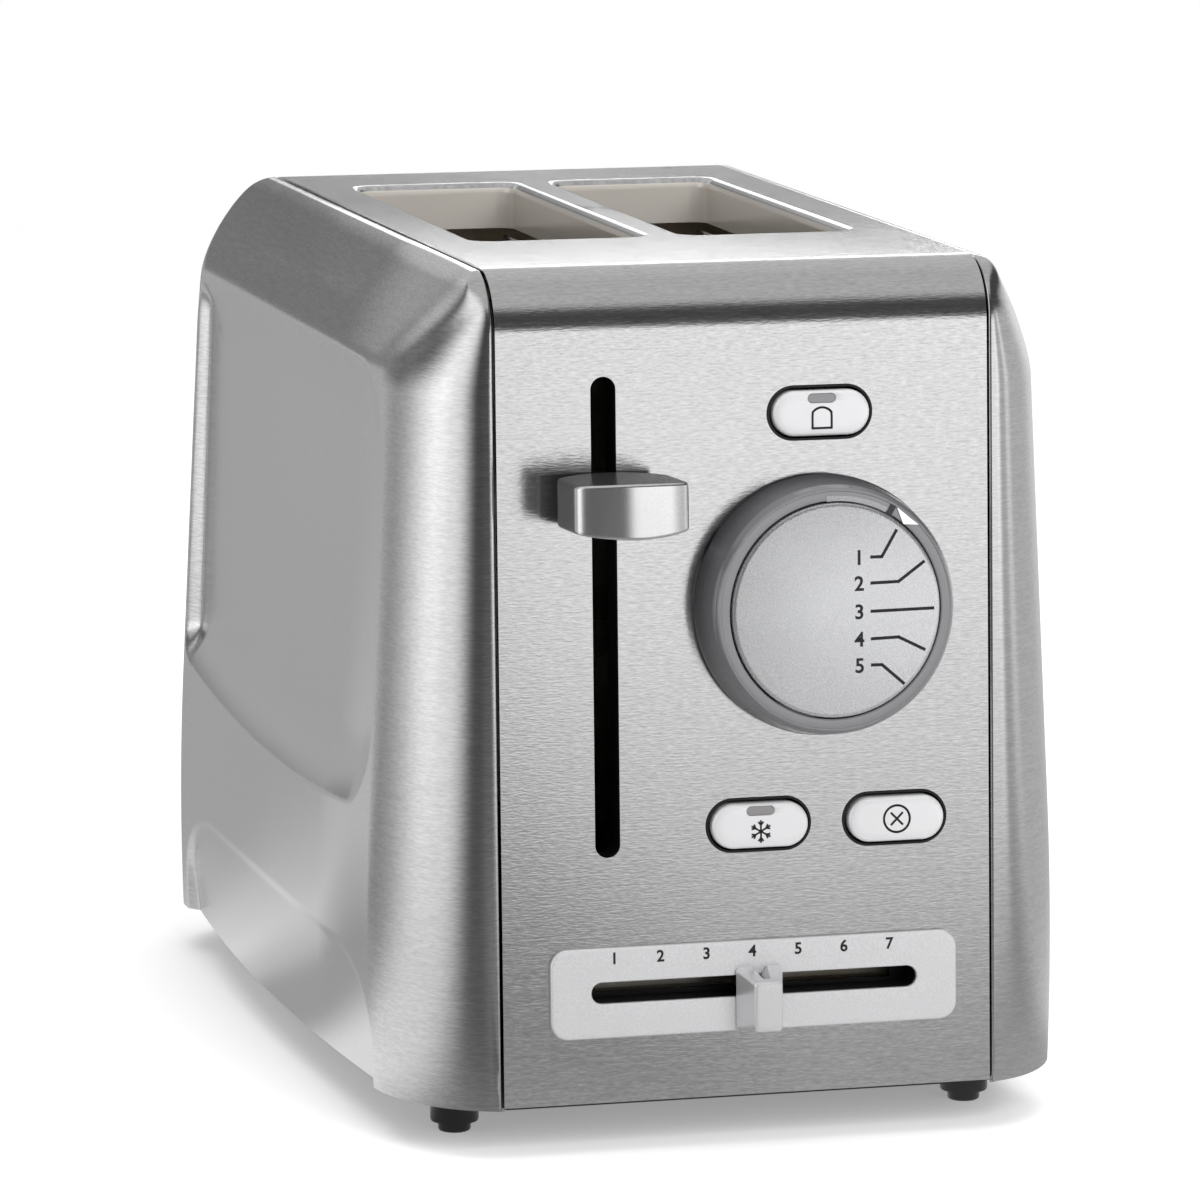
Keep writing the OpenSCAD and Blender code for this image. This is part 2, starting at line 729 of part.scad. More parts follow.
module front_end_plate() {
  y0 = plate_y0 - plate_t;
  color("#a9abae") difference() {
    union() {
      seat() end_plate_blank(y0);
      // shelf that holds the tops of the guide rods and the spring
      seat() box([-rod_x - boss_r - 2, tab_y, tab_z], [rod_x + boss_r + 2, y0 + plate_t / 2, tab_z + 1.2]);
    }
    seat() plate_openings(y0);
    on_face() for (i = [-1, 1])
      rail(i * rod_x, rod_h, rod_hole_r, tab_s - 6, tab_s + 6);
  }
}

module rear_end_plate() {
  color("#a9abae") seat() difference() {
    end_plate_blank(plate_y1);
    plate_openings(plate_y1);
  }
}

module heat_shield(side) {
  x0 = side > 0 ? shield_x : -shield_x - plate_t;
  color("#b4b6b9") seat()
    box([x0, plate_y0, chamber_z], [x0 + plate_t, plate_y1, chamber_top - 1]);
}
module left_heat_shield() { heat_shield(-1); }
module right_heat_shield() { heat_shield(1); }

module heater_card(x) {
  color("#c9b88f") seat() difference() {
    box([x - card_t / 2, plate_y0, card_z0], [x + card_t / 2, plate_y1, card_z1]);
    // windows between the runs let heat and light through
    for (k = [0:ribbon_runs - 2], j = [0:3])
      box([x - card_t, mid_y - 52 + 28 * j, run_z(k) + 4],
          [x + card_t, mid_y - 32 + 28 * j, run_z(k + 1) - 4]);
  }
}
function run_z(k) = card_z0 + 10 + k * (card_z1 - card_z0 - 20) / (ribbon_runs - 1);

// one ribbon laid to and fro on a card's face
module ribbon(x0) {
  y0 = plate_y0 + 5;
  y1 = plate_y1 - 5;
  for (k = [0:ribbon_runs - 1])
    box([x0, y0, run_z(k) - ribbon_w / 2], [x0 + ribbon_t, y1, run_z(k) + ribbon_w / 2]);
  for (k = [0:ribbon_runs - 2]) {
    y = k % 2 == 0 ? y0 : y1 - ribbon_w;
    box([x0, y, run_z(k)], [x0 + ribbon_t, y + ribbon_w, run_z(k + 1)]);
  }
}
module heater_card_left() { heater_card(-outer_card_x); }
module heater_card_centre() { heater_card(0); }
module heater_card_right() { heater_card(outer_card_x); }
module heating_ribbon_left() {
  color("#9a8f86") seat() ribbon(-outer_card_x + card_t / 2);
}
module heating_ribbon_right() {
  color("#9a8f86") seat() ribbon(outer_card_x - card_t / 2 - ribbon_t);
}
module heating_ribbon_centre() {
  color("#9a8f86") seat() {
    ribbon(card_t / 2);
    ribbon(-card_t / 2 - ribbon_t);
  }
}

// a grille of upright wires that swings in on its lower rod
module bread_guide(side, part) {
  x = guide_x(side, part);
  span = slot_l - 8;
  color("#c4c6c8") seat() {
    bar_y(x, guide_z0, pivot_d / 2, plate_y0 - plate_t - 1.2, plate_y1 + plate_t + 1.2);
    for (z = [guide_z1, (guide_z0 + guide_z1) / 2])
      bar_y(x, z, wire_d / 2, mid_y - span / 2 - 3, mid_y + span / 2 + 3);
    for (k = [0:guide_wires - 1])
      translate([x, mid_y - span / 2 + k * span / (guide_wires - 1), guide_z0])
        cylinder(h = guide_z1 - guide_z0, d = wire_d, $fn = 24);
  }
}
module guide_left_outer() { bread_guide(-1, -1); }
module guide_left_inner() { bread_guide(-1, 1); }
module guide_right_inner() { bread_guide(1, -1); }
module guide_right_outer() { bread_guide(1, 1); }

// ---- bread carriage ----

module bread_rack(side) {
  y0 = bracket_front_y() - 1.5;
  fingers = 9;
  color("#b9bbbd") seat() translate([side * slot_x, 0, 0]) {
    box([-web_t / 2, y0, rack_z - web_h], [web_t / 2, plate_y1 + plate_t + 5, rack_z - 1]);
    // bed with rungs that the bread stands on
    box([-web_t, plate_y0 + 6, rack_z - 1.2], [web_t, plate_y1 - 6, rack_z]);
    for (k = [0:fingers - 1])
      translate([0, plate_y0 + 10 + k * (chamber_l - 20) / (fingers - 1), rack_z - 1.2])
        linear_extrude(1.2) rounded_rect(rack_w, 4, 1.5);
  }
}
module left_bread_rack() { bread_rack(-1); }
module right_bread_rack() { bread_rack(1); }
// y of the bracket's front at the height of the racks
function bracket_front_y() = crossbar_s * sl - bracket_h * cl;

module carriage_bracket() {
  arm_s = lever_s;
  color("#aeb0b3") on_face() difference() {
    union() {
      prism(bracket_h - bracket_t, bracket_h) {
        translate([-slot_x - 14, crossbar_s - crossbar_h / 2])
          square([2 * slot_x + 19, crossbar_h]);
        translate([lever_x - 6.5, crossbar_s - crossbar_h / 2])
          square([14, arm_s + arm_h / 2 + 2 - crossbar_s + crossbar_h / 2]);
      }
      for (i = [-1, 1])
        rail(i * rod_x, rod_h, boss_r, crossbar_s - crossbar_h / 2, crossbar_s + crossbar_h / 2);
      for (i = [-1, 1])
        translate([i * rod_x - 2, crossbar_s - crossbar_h / 2, bracket_h - bracket_t - 2])
          cube([4, crossbar_h, 2.5]);
      // shelf over the keeper and hook for the spring
      translate([-8, keeper_s - 1.5, keeper_h - 5]) cube([16, 1.5, bracket_h - keeper_h + 5]);
      translate([-1, keeper_s - 0.5, rod_h - 1]) cube([2, 4, 2]);
      // lever arm through the front face
      translate([lever_x - arm_t / 2, arm_s - arm_h / 2, bracket_h - bracket_t])
        cube([arm_t, arm_h, knob_reach - 6 - bracket_h + bracket_t]);
    }
    for (i = [-1, 1])
      rail(i * rod_x, rod_h, rod_hole_r, crossbar_s - crossbar_h, crossbar_s + crossbar_h);
    for (i = [-1, 1])
      translate([i * slot_x, crossbar_s, bracket_h - bracket_t / 2])
        cube([web_t + 0.3, web_h + 1, bracket_t + 2], center = true);
  }
}

module keeper_plate() {
  color("#77797c") on_face()
    translate([-7, keeper_s - 3.5, keeper_h - core_d / 2]) cube([14, 2, core_d]);
}

module guide_rods() {
  color("#d0d2d4") on_face() for (i = [-1, 1])
    rail(i * rod_x, rod_h, rod_d / 2, 1.5, tab_s + 1.2);
}

// a helix of round wire with closed ends
module lift_spring() {
  turns = 14;
  steps = 10;
  sides = 5;
  s0 = keeper_s + spring_wire / 2 + 0.15;
  s1 = tab_s - spring_wire / 2 + 0.1;
  coil_r = (spring_d - spring_wire) / 2;
  count = turns * steps;
  pts = [for (k = [0:count], m = [0:sides - 1])
    let(a = 360 * k / steps, b = 360 * m / sides, r = coil_r + spring_wire / 2 * cos(b))
    [r * cos(a), s0 + (s1 - s0) * k / count + spring_wire / 2 * sin(b), rod_h + r * sin(a)]];
  quads = [for (k = [0:count - 1], m = [0:sides - 1])
    let(n = (m + 1) % sides)
    [sides * k + m, sides * (k + 1) + m, sides * (k + 1) + n, sides * k + n]];
  ends = [[for (m = [0:sides - 1]) m], [for (m = [sides - 1:-1:0]) sides * count + m]];
  color("#8e9093") on_face()
    polyhedron(pts, concat(ends, [for (q = quads, t = [[q[0], q[1], q[2]], [q[0], q[2], q[3]]]) t]));
}

// radius of an arc over a chord from -half to half
function arc_r(half, sag) = (half * half + sag * sag) / (2 * sag);

// plan of the lever knob: a bulging front and a back that curves towards the panel
module knob_plan() {
  flank = 7.3;
  back = 0.9;
  back_r = arc_r(knob_w / 2, flank - back);
  front_r = arc_r(knob_w / 2, knob_bulge);
  intersection() {
    translate([0, back + back_r]) circle(back_r, $fn = 96);
    translate([0, knob_reach - front_r]) circle(front_r, $fn = 96);
    translate([-knob_w / 2, 0]) square([knob_w, knob_reach]);
  }
}

module lever_knob() {
  top = knob_h / 2 - knob_drop;
  bow_r = arc_r(knob_w / 2, knob_bow);
  color("#c8c9cb") on_face(lever_x, lever_s) difference() {
    intersection() {
      translate([0, top, 0]) rotate([90, 0, 0]) linear_extrude(knob_h) knob_plan();
      translate([0, top - knob_h + bow_r, -1]) cylinder(h = knob_reach + 2, r = bow_r, $fn = 180);
    }
    translate([-arm_t / 2 - 0.1, -arm_h / 2 - 0.1, -1])
      cube([arm_t + 0.2, arm_h + 0.2, knob_reach - 4.8]);
  }
}

// core with three poles
module magnet_core() {
  color("#6f7174") seat() translate([0, magnet_y, 0]) difference() {
    box([-magnet_w / 2, -core_d / 2, floor_z], [magnet_w / 2, core_d / 2, magnet_top]);
    for (i = [-1, 1])
      translate([i * (pole_w / 2 + 1.75), 0, 0])
        box([-1.75, -core_d, floor_z + 2.5], [1.75, core_d, magnet_top + 1]);
  }
}

module magnet_coil() {
  half_x = pole_w / 2 + 3.4;
  half_y = core_d / 2 + 1.9;
  color("#a8562c") seat() translate([0, magnet_y, 0]) difference() {
    box([-half_x, -half_y, floor_z + 2.6], [half_x, half_y, magnet_top - 1]);
    box([-pole_w / 2 - 0.1, -core_d / 2 - 0.1, floor_z], [pole_w / 2 + 0.1, core_d / 2 + 0.1, magnet_top]);
  }
}

module power_switch() {
  color("#2c2c30") seat()
    box([32, plate_y0 - plate_t - 14, floor_z], [48, plate_y0 - plate_t - 4, floor_z + 16]);
}

// ---- controls ----

module carrier_shape(edge) {
  low = carrier_low + edge;
  right = carrier_right - edge;
  translate([carrier_left + edge, low]) square([right - carrier_left - edge, carrier_high - edge - low]);
  translate([wing_left + edge, low]) square([right - wing_left - edge, wing_high - edge - low]);
}

module control_carrier() {
  color("#1f1f22") difference() {
    union() {
      on_face() prism(carrier_back, carrier_h) carrier_shape(0);
      at_keys() prism(carrier_back, 0.3) key_hole(0);
      on_face() for (p = posts)
        translate(p) prism(board_h, carrier_h) circle(post_r);
    }
    at_keys() prism(carrier_back - 1, 2) pill(key_w + 2 * key_gap, key_h + 2 * key_gap);
    on_face(dial_x, dial_s) prism(carrier_back - 1, 2) circle(sleeve_r + 1);
    on_face(slider_x, slider_s) prism(carrier_back - 1, 2)
      square([groove_w + 2.5, groove_h + 2.3], center = true);
    on_face() for (p = posts)
      translate(p) prism(board_h - 1, board_h + 8) circle(1.25);
  }
}

module control_board() {
  color("#2f6b3c") on_face() difference() {
    prism(board_h - board_t, board_h) carrier_shape(board_edge);
    for (p = posts)
      translate(p) prism(board_h - board_t - 1, board_h + 1) circle(1.3);
  }
}

module board_screws() {
  color("gray") on_face() for (p = posts)
    translate(p) {
      prism(board_h - board_t - 1.4, board_h - board_t) circle(2.4);
      prism(board_h - board_t, board_h + 6) circle(1.2);
    }
}

module board_components() {
  back = board_h - board_t;
  color("#3a3a3f") on_face() {
    // relay, controller, three capacitors and the mains connector
    translate([dial_x + 13, dial_s + 11, back - 10]) cube([16, 20, 10]);
    translate([dial_x + 17, dial_s - 21, back - 2]) cube([10, 10, 2]);
    for (k = [0:2])
      translate([carrier_left + 10 + 12 * k, dial_s + 31, 0]) prism(back - 11, back) circle(4);
    translate([carrier_left + 6, carrier_low + 12, back - 6]) cube([20, 8, 6]);
  }
}

module key_switches() {
  color("#26262a") at_keys() {
    prism(board_h, board_h + 4) square(6, center = true);
    prism(board_h + 4, board_h + 4.8) circle(1.7);
  }
}

module lens_shape() {
  translate([0, 3.3]) pill(6.5, 2.1);
}

module indicator_lamps() {
  color("#d8d2c4") {
    on_face(dial_x + 0.4, single_s + 8) prism(board_h, board_h + 4) circle(1.5);
    on_face(defrost_x, lower_s + 8) prism(board_h, board_h + 4) circle(1.5);
  }
}

module key(x, s, lens) {
  color("#d6d6d8") on_face(x, s) difference() {
    union() {
      prism(carrier_back - 0.3, key_reach) pill(key_w, key_h);
      prism(carrier_back - 1.8, carrier_back - 0.3)
        pill(key_w + 2 * flange_out, key_h + 2 * flange_out);
      prism(board_h + 4.8 + key_travel + 0.1, carrier_back - 1.8) circle(2);
    }
    if (lens)
      prism(key_reach - 2.6, key_reach + 1) translate([0, 3.3]) pill(lens_w, lens_l);
  }
}
module single_key() { key(dial_x + 0.4, single_s, true); }
module defrost_key() { key(defrost_x, lower_s, true); }
module cancel_key() { key(cancel_x, lower_s, false); }

module lens(x, s) {
  color("#8c8c90") on_face(x, s) prism(key_reach - 2.6, key_reach) lens_shape();
}
module single_lens() { lens(dial_x + 0.4, single_s); }
module defrost_lens() { lens(defrost_x, lower_s); }

// section of the turning ring: x is the radius, y the height above the panel
module ring_section() {
  web_h0 = 5;
  lip_r = dial_face_r + 0.4;
  polygon([[lip_r + 2, 0.6], [dial_r, 0.6], [dial_r, 3.2], [dial_front_r + 0.8, dial_h - 1.4],
           [dial_front_r, dial_h - 0.4], [dial_front_r - 0.6, dial_h],
           [lip_r, dial_h - 0.8], [lip_r, web_h0 + 3], [lip_r + 2, web_h0]]);
  translate([hub_r + run_gap, web_h0]) square([lip_r + 2 - hub_r - run_gap, 3]);
  translate([hub_r + run_gap, carrier_back - 1])
    square([sleeve_r - hub_r - run_gap, dial_h - 2.4 - carrier_back]);
}

module pointer_shape(gap) {
  rotate(pointer_angle)
    polygon([[dial_face_r + 0.6 - 2.5 * gap, 0], [dial_front_r - 0.4 + gap, -3.6 - 2.5 * gap],
             [dial_front_r - 0.4 + gap, 3.6 + 2.5 * gap]]);
}

module dial_ring() {
  color("#55565a") on_face(dial_x, dial_s) difference() {
    rotate_extrude($fn = 96) ring_section();
    prism(dial_h - 3.1, dial_h + 2) pointer_shape(0.1);
  }
}

module dial_pointer() {
  color("white") on_face(dial_x, dial_s)
    prism(dial_h - 3, dial_h + 0.1) pointer_shape(0);
}

module dial_face() {
  color("#c6c5cb") on_face(dial_x, dial_s) {
    rotate_extrude($fn = 96) polygon([[0, dial_h - 1.4], [dial_face_r, dial_h - 1.4],
      [dial_face_r, dial_h + 0.2], [dial_face_r - 0.5, dial_h + 0.6], [0, dial_h + 0.6]]);
    prism(1, dial_h - 1.4) circle(stem_r);
  }
}

module dial_encoder() {
  color("#242428") on_face(dial_x, dial_s) difference() {
    union() {
      prism(board_h, carrier_back - 2.2) circle(encoder_r);
      prism(board_h, dial_h - 1.4) circle(hub_r);
    }
    prism(0.8, dial_h) circle(stem_r + 0.05);
  }
}

module slider_plate() {
  color("#cfcfd1") on_face(slider_x, slider_s) prism(0, plate_d) difference() {
    rounded_rect(plate_w, plate_h, plate_r);
    pill(groove_w, groove_h);
  }
}

module slider_channel() {
  color("#101012") on_face(slider_x, slider_s) difference() {
    prism(-10, 0) square([groove_w + 2, groove_h + 1.8], center = true);
    prism(-8.6, 1) pill(groove_w + 0.2, groove_h + 0.2);
    prism(-11, 1) square([2 * slider_travel + 5, 3.2], center = true);
  }
}

module slider_knob() {
  front_w = slide_knob_taper * slide_knob_w;
  front_h = slide_knob_taper * slide_knob_h;
  h0 = plate_d + 0.3;
  color("#c8c9cb") on_face(slider_x, slider_s) {
    difference() {
      translate([0, -slide_knob_drop])
        taper([slide_knob_w, slide_knob_h], [front_w, front_h], h0, plate_d + slide_knob_d);
      // pointer groove along the top
      translate([0, slide_knob_h / 2 - slide_knob_drop, h0 - 1])
        linear_extrude(slide_knob_d + 2) polygon([[-1.6, 0.1], [0, -2], [1.6, 0.1]]);
    }
    prism(board_h + 2.6, h0) square([3.2, 2.6], center = true);
  }
}

module slide_potentiometer() {
  color("#7b7d80") on_face(slider_x, slider_s) difference() {
    prism(board_h, board_h + pot_h) square([pot_w, pot_l], center = true);
    prism(board_h + 2, board_h + 6) square([2 * slider_travel + 5, 3.4], center = true);
  }
}

module lever_slot_liner() {
  color("#0c0c0d") on_face(lever_x, (lever_low + lever_high) / 2) difference() {
    prism(-sheet_t - 8, -sheet_t - 0.1)
      square([lever_slot_w + 3.2, lever_high - lever_low + 4], center = true);
    prism(-sheet_t - 9, 0) rotate(90) pill(lever_high - lever_low + 0.2, lever_slot_w + 0.2);
  }
}

wrap_cover();
left_side_panel();
right_side_panel();
base_pan();
foot_front_left();
foot_front_right();
foot_rear_left();
foot_rear_right();
crumb_tray();
cord_gland();
base_screws();
front_end_plate();
rear_end_plate();
left_heat_shield();
right_heat_shield();
heater_card_left();
heater_card_centre();
heater_card_right();
heating_ribbon_left();
heating_ribbon_centre();
heating_ribbon_right();
guide_left_outer();
guide_left_inner();
guide_right_inner();
guide_right_outer();
carriage_bracket();
left_bread_rack();
right_bread_rack();
lever_knob();
guide_rods();
lift_spring();
keeper_plate();
magnet_core();
magnet_coil();
power_switch();
control_carrier();
control_board();
board_components();
key_switches();
indicator_lamps();
board_screws();
lever_slot_liner();
single_key();
defrost_key();
cancel_key();
single_lens();
defrost_lens();
dial_ring();
dial_pointer();
dial_face();
dial_encoder();
slider_plate();
slider_channel();
slider_knob();
slide_potentiometer();
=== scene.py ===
import json
from math import cos, pi, radians, sin, tan

import bmesh
import bpy
import numpy as np
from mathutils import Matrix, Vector

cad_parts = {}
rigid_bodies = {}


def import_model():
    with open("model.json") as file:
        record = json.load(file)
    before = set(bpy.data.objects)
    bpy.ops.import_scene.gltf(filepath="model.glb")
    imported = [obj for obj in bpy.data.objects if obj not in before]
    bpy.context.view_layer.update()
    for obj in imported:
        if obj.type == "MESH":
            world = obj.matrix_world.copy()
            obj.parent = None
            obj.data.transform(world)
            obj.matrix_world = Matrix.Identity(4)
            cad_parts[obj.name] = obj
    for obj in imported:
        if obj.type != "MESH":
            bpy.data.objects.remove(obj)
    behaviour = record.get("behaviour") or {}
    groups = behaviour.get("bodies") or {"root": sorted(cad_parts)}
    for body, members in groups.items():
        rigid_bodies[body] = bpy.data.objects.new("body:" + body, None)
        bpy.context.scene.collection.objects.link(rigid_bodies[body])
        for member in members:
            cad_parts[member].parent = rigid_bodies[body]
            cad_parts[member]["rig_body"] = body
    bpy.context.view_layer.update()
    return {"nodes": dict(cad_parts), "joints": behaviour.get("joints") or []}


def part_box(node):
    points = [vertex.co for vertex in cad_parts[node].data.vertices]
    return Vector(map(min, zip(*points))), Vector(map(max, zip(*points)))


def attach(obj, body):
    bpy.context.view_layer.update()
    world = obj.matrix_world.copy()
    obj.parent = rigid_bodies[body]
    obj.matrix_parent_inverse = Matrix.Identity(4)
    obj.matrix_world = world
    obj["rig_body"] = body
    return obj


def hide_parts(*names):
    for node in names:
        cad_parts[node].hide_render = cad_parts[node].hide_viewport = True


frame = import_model()
cad = frame["nodes"]
scene = bpy.context.scene
mm = 0.001

lean = radians(2.4)  # how far the front panel leans back
coverLow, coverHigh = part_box("wrap_cover")
frontY, coverZ, topZ = coverLow.y, coverLow.z, coverHigh.z
midY = (coverLow.y + coverHigh.y) / 2
bodyD = coverHigh.y - coverLow.y
print("frame loaded, front edge at y", round(frontY, 5))


def onFace(points):
    # (across, up the panel, out of the panel) to row coordinates, all in metres
    x, s, h = np.asarray(points, float).T
    return np.stack([x, frontY + s * sin(lean) - h * cos(lean),
                     coverZ + s * cos(lean) + h * sin(lean)], axis=1)


def centreOf(node):
    low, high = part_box(node)
    return (low + high) / 2


def faceSpot(node):
    # where a node's middle stands on the panel: (across, up the panel)
    c = centreOf(node)
    dy, dz = c.y - frontY, c.z - coverZ
    return c.x, dy * sin(lean) + dz * cos(lean)


def linked(name, data):
    # a new object in the scene
    made = bpy.data.objects.new(name, data)
    scene.collection.objects.link(made)
    return made


def addPiece(name, points, faces, *look):
    # look is the paint and the body it rides, then maybe a slot name, which is not used, the CAD nodes it stands for
    # and its sharp angle
    mesh = bpy.data.meshes.new(name)
    mesh.from_pydata(np.asarray(points, float).tolist(), [], [list(map(int, f)) for f in faces])
    return settle(finishPiece(name, mesh, *look))


def settle(piece):
    # large faces keep their flat shading beside small rounded edges
    even = piece.modifiers.new("even", "WEIGHTED_NORMAL")
    even.mode, even.weight, even.keep_sharp = "FACE_AREA", 90, True
    return bakeModifiers(piece)


def reworked(mesh, change):
    # a mesh changed in place with bmesh
    work = bmesh.new()
    work.from_mesh(mesh)
    change(work)
    work.to_mesh(mesh)
    work.free()


def cleaned(work):
    bmesh.ops.remove_doubles(work, verts=work.verts, dist=1e-7)
    bmesh.ops.dissolve_degenerate(work, edges=work.edges, dist=1e-8)
    bmesh.ops.recalc_face_normals(work, faces=work.faces)


def finishPiece(name, mesh, paint, body, slot=None, hides=(), sharp=32, clean=True):
    if clean:
        reworked(mesh, cleaned)
    mesh.polygons.foreach_set("use_smooth", np.ones(len(mesh.polygons), bool))
    mesh.set_sharp_from_angle(angle=radians(sharp))
    mesh.materials.clear()
    mesh.materials.append(paints[paint])
    mesh.update()
    piece = linked(name, mesh)
    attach(piece, body)
    if hides:
        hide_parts(*hides)
    return piece


def bakeModifiers(piece):
    # replaces the mesh with what its modifiers make of it
    seen = piece.evaluated_get(bpy.context.evaluated_depsgraph_get())
    mesh = bpy.data.meshes.new_from_object(seen)
    piece.modifiers.clear()
    piece.data = mesh
    return piece


def gridFaces(rows, cols, wrap):
    # quads of a grid stored row by row; wrap joins the last column to the first
    i, j = np.meshgrid(np.arange(rows - 1), np.arange(cols if wrap else cols - 1), indexing="ij")
    k = (j + 1) % cols
    corners = [i * cols + j, i * cols + k, (i + 1) * cols + k, (i + 1) * cols + j]
    return np.stack(corners, axis=-1).reshape(-1, 4).tolist()


def roundedOutline(w, h, r, corner=10):
    # a rectangle w by h with quarter circles of radius r, anticlockwise
    r = min(r, w / 2, h / 2)
    turn = np.linspace(0, pi / 2, corner)
    parts = []
    for k, (sx, sy) in enumerate([(1, 1), (-1, 1), (-1, -1), (1, -1)]):
        a = turn + k * pi / 2
        parts.append(np.stack([sx * (w / 2 - r) + r * np.cos(a), sy * (h / 2 - r) + r * np.sin(a)], axis=1))
    return np.concatenate(parts)


def drawnIn(w, h, r, corner=10):
    # a rounded outline as a function of how far it is drawn in
    return lambda inset: roundedOutline(w - 2 * inset, h - 2 * inset, r - inset, corner)


def ringStack(outline, steps):
    # closed solid from outlines drawn in by an inset at each height; flat ends
    rings = [np.column_stack([outline(inset), np.full(len(outline(inset)), height)]) for inset, height in steps]
    n = len(rings[0])
    faces = gridFaces(len(rings), n, True)
    faces.append(list(range(n))[::-1])
    faces.append([(len(rings) - 1) * n + k for k in range(n)])
    return np.concatenate(rings), faces


def edgeRound(radius, top, start=0.0, steps=6):
    # steps of a quarter-round edge that ends at the height top
    a = np.linspace(0, pi / 2, steps)
    return [(start + radius * (1 - cos(t)), top - radius + radius * sin(t)) for t in a]


def acrossLoop(start, count, flip):
    # strips that close a loop of points, numbered from start
    strips = [[start + k, start + k + 1, start + count - 2 - k, start + count - 1 - k] for k in range(count // 2 - 1)]
    return [strip[::-1] for strip in strips] if flip else strips


def revolve(profile, turns=96, closed=False):
    # profile of (radius, height) carried round the height axis
    profile = np.asarray(profile, float)
    a = np.linspace(0, 2 * pi, turns, endpoint=False)
    r = np.maximum(profile[:, :1], 1e-6)
    points = np.stack([r * np.cos(a), r * np.sin(a), np.repeat(profile[:, 1:], turns, 1)], axis=-1).reshape(-1, 3)
    faces = gridFaces(len(profile), turns, True)
    if closed:
        last = (len(profile) - 1) * turns
        faces += [[last + j, last + (j + 1) % turns, (j + 1) % turns, j] for j in range(turns)]
    return points, faces


# faces of a wedge: three points at one height, then three at another
wedgeFaces = [[0, 2, 1], [3, 4, 5], [0, 1, 4, 3], [1, 2, 5, 4], [2, 0, 3, 5]]


def strokes(lines, width, low, high):
    # flat bars along 2-D lines, each (x0, y0, x1, y1), with square ends
    lines = np.asarray(lines, float).reshape(-1, 4)
    d = lines[:, 2:] - lines[:, :2]
    d /= np.linalg.norm(d, axis=1, keepdims=True)
    side = np.stack([-d[:, 1], d[:, 0]], axis=1) * width / 2
    a, b = lines[:, :2] - d * width * 0.3, lines[:, 2:] + d * width * 0.3
    flat = np.stack([a - side, b - side, b + side, a + side], axis=1)
    n = len(lines)
    levels = [np.concatenate([flat, np.full((n, 4, 1), z)], axis=2) for z in (low, high)]
    points = np.concatenate(levels, axis=1).reshape(-1, 3)
    one = np.array([[3, 2, 1, 0], [4, 5, 6, 7], [0, 1, 5, 4], [1, 2, 6, 5], [2, 3, 7, 6], [3, 0, 4, 7]])
    return points, (one[None] + 8 * np.arange(n)[:, None, None]).reshape(-1, 4)


def joined(*parts):
    # several (points, faces) as one
    points, faces, count = [], [], 0
    for p, f in parts:
        points.append(np.asarray(p))
        faces += [[int(v) + count for v in face] for face in f]
        count += len(p)
    return np.concatenate(points), faces


def lettering(items, size, low, high, weight=0.0, align="CENTER"):
    # plain numerals as flat solids; items are (text, x, y)
    parts = []
    for text, x, y in items:
        curve = bpy.data.curves.new("numeral", "FONT")
        curve.body, curve.size, curve.offset = text, size, weight * size
        curve.align_x, curve.align_y = align, "CENTER"
        curve.extrude, curve.resolution_u = (high - low) / 2, 6
        holder = linked("numeral", curve)
        bpy.context.view_layer.update()
        made = bpy.data.meshes.new_from_object(holder.evaluated_get(bpy.context.evaluated_depsgraph_get()))
        spots = np.zeros(len(made.vertices) * 3)
        made.vertices.foreach_get("co", spots)
        parts.append((spots.reshape(-1, 3) + [x, y, (low + high) / 2], [list(p.vertices) for p in made.polygons]))
        bpy.data.objects.remove(holder)
        bpy.data.meshes.remove(made)
    return joined(*parts)


def facePiece(name, shape, at, *look):
    # a piece drawn on the leaning front panel about a spot (across, up the panel)
    points, faces = shape
    return addPiece(name, onFace(points + [*at, 0]), faces, *look)


def cutAway(piece, shape, at, body, ease=0.0):
    # cuts a closed shape out of a piece on the panel, and may ease the edges it leaves
    tool = facePiece(piece.name + "_cutter", shape, at, piece.data.materials[0].name, body)
    cut = piece.modifiers.new("cut", "BOOLEAN")
    cut.operation, cut.object, cut.solver = "DIFFERENCE", tool, "EXACT"
    if ease:
        rim = piece.modifiers.new("ease", "BEVEL")
        rim.width, rim.segments = ease, 2
        rim.limit_method, rim.angle_limit = "ANGLE", radians(38)
    settle(piece)
    bpy.data.objects.remove(tool)


def merged(work):
    bmesh.ops.remove_doubles(work, verts=work.verts, dist=2e-6)
    bmesh.ops.dissolve_limit(work, angle_limit=radians(0.2), verts=work.verts, edges=work.edges)


def polished(node, paint, sharp):
    # merged copy of a CAD node, with its flat faces kept flat
    mesh, body = cad[node].data.copy(), cad[node]["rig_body"]
    reworked(mesh, merged)
    return settle(finishPiece(node + "_finish", mesh, paint, body, None, [node], sharp, clean=False))


def maths(operation, turned=False, *extra):
    # a method that adds a maths node of this operation; turned swaps its two terms
    return lambda *terms: terms[0].paint.maths(operation, *(terms[::-1] if turned else terms), *extra)


class Value:
    # a number or a vector in a shader; sums of them add nodes
    def __init__(self, paint, socket):
        self.paint, self.socket = paint, socket

    __add__, __radd__ = maths("ADD"), maths("ADD", True)
    __sub__, __rsub__ = maths("SUBTRACT"), maths("SUBTRACT", True)
    __mul__, __rmul__ = maths("MULTIPLY"), maths("MULTIPLY", True)
    __truediv__, __rtruediv__ = maths("DIVIDE"), maths("DIVIDE", True)
    __pow__, __abs__, __neg__ = maths("POWER"), maths("ABSOLUTE"), maths("MULTIPLY", False, -1.0)
    __gt__, __lt__ = maths("GREATER_THAN"), maths("LESS_THAN")


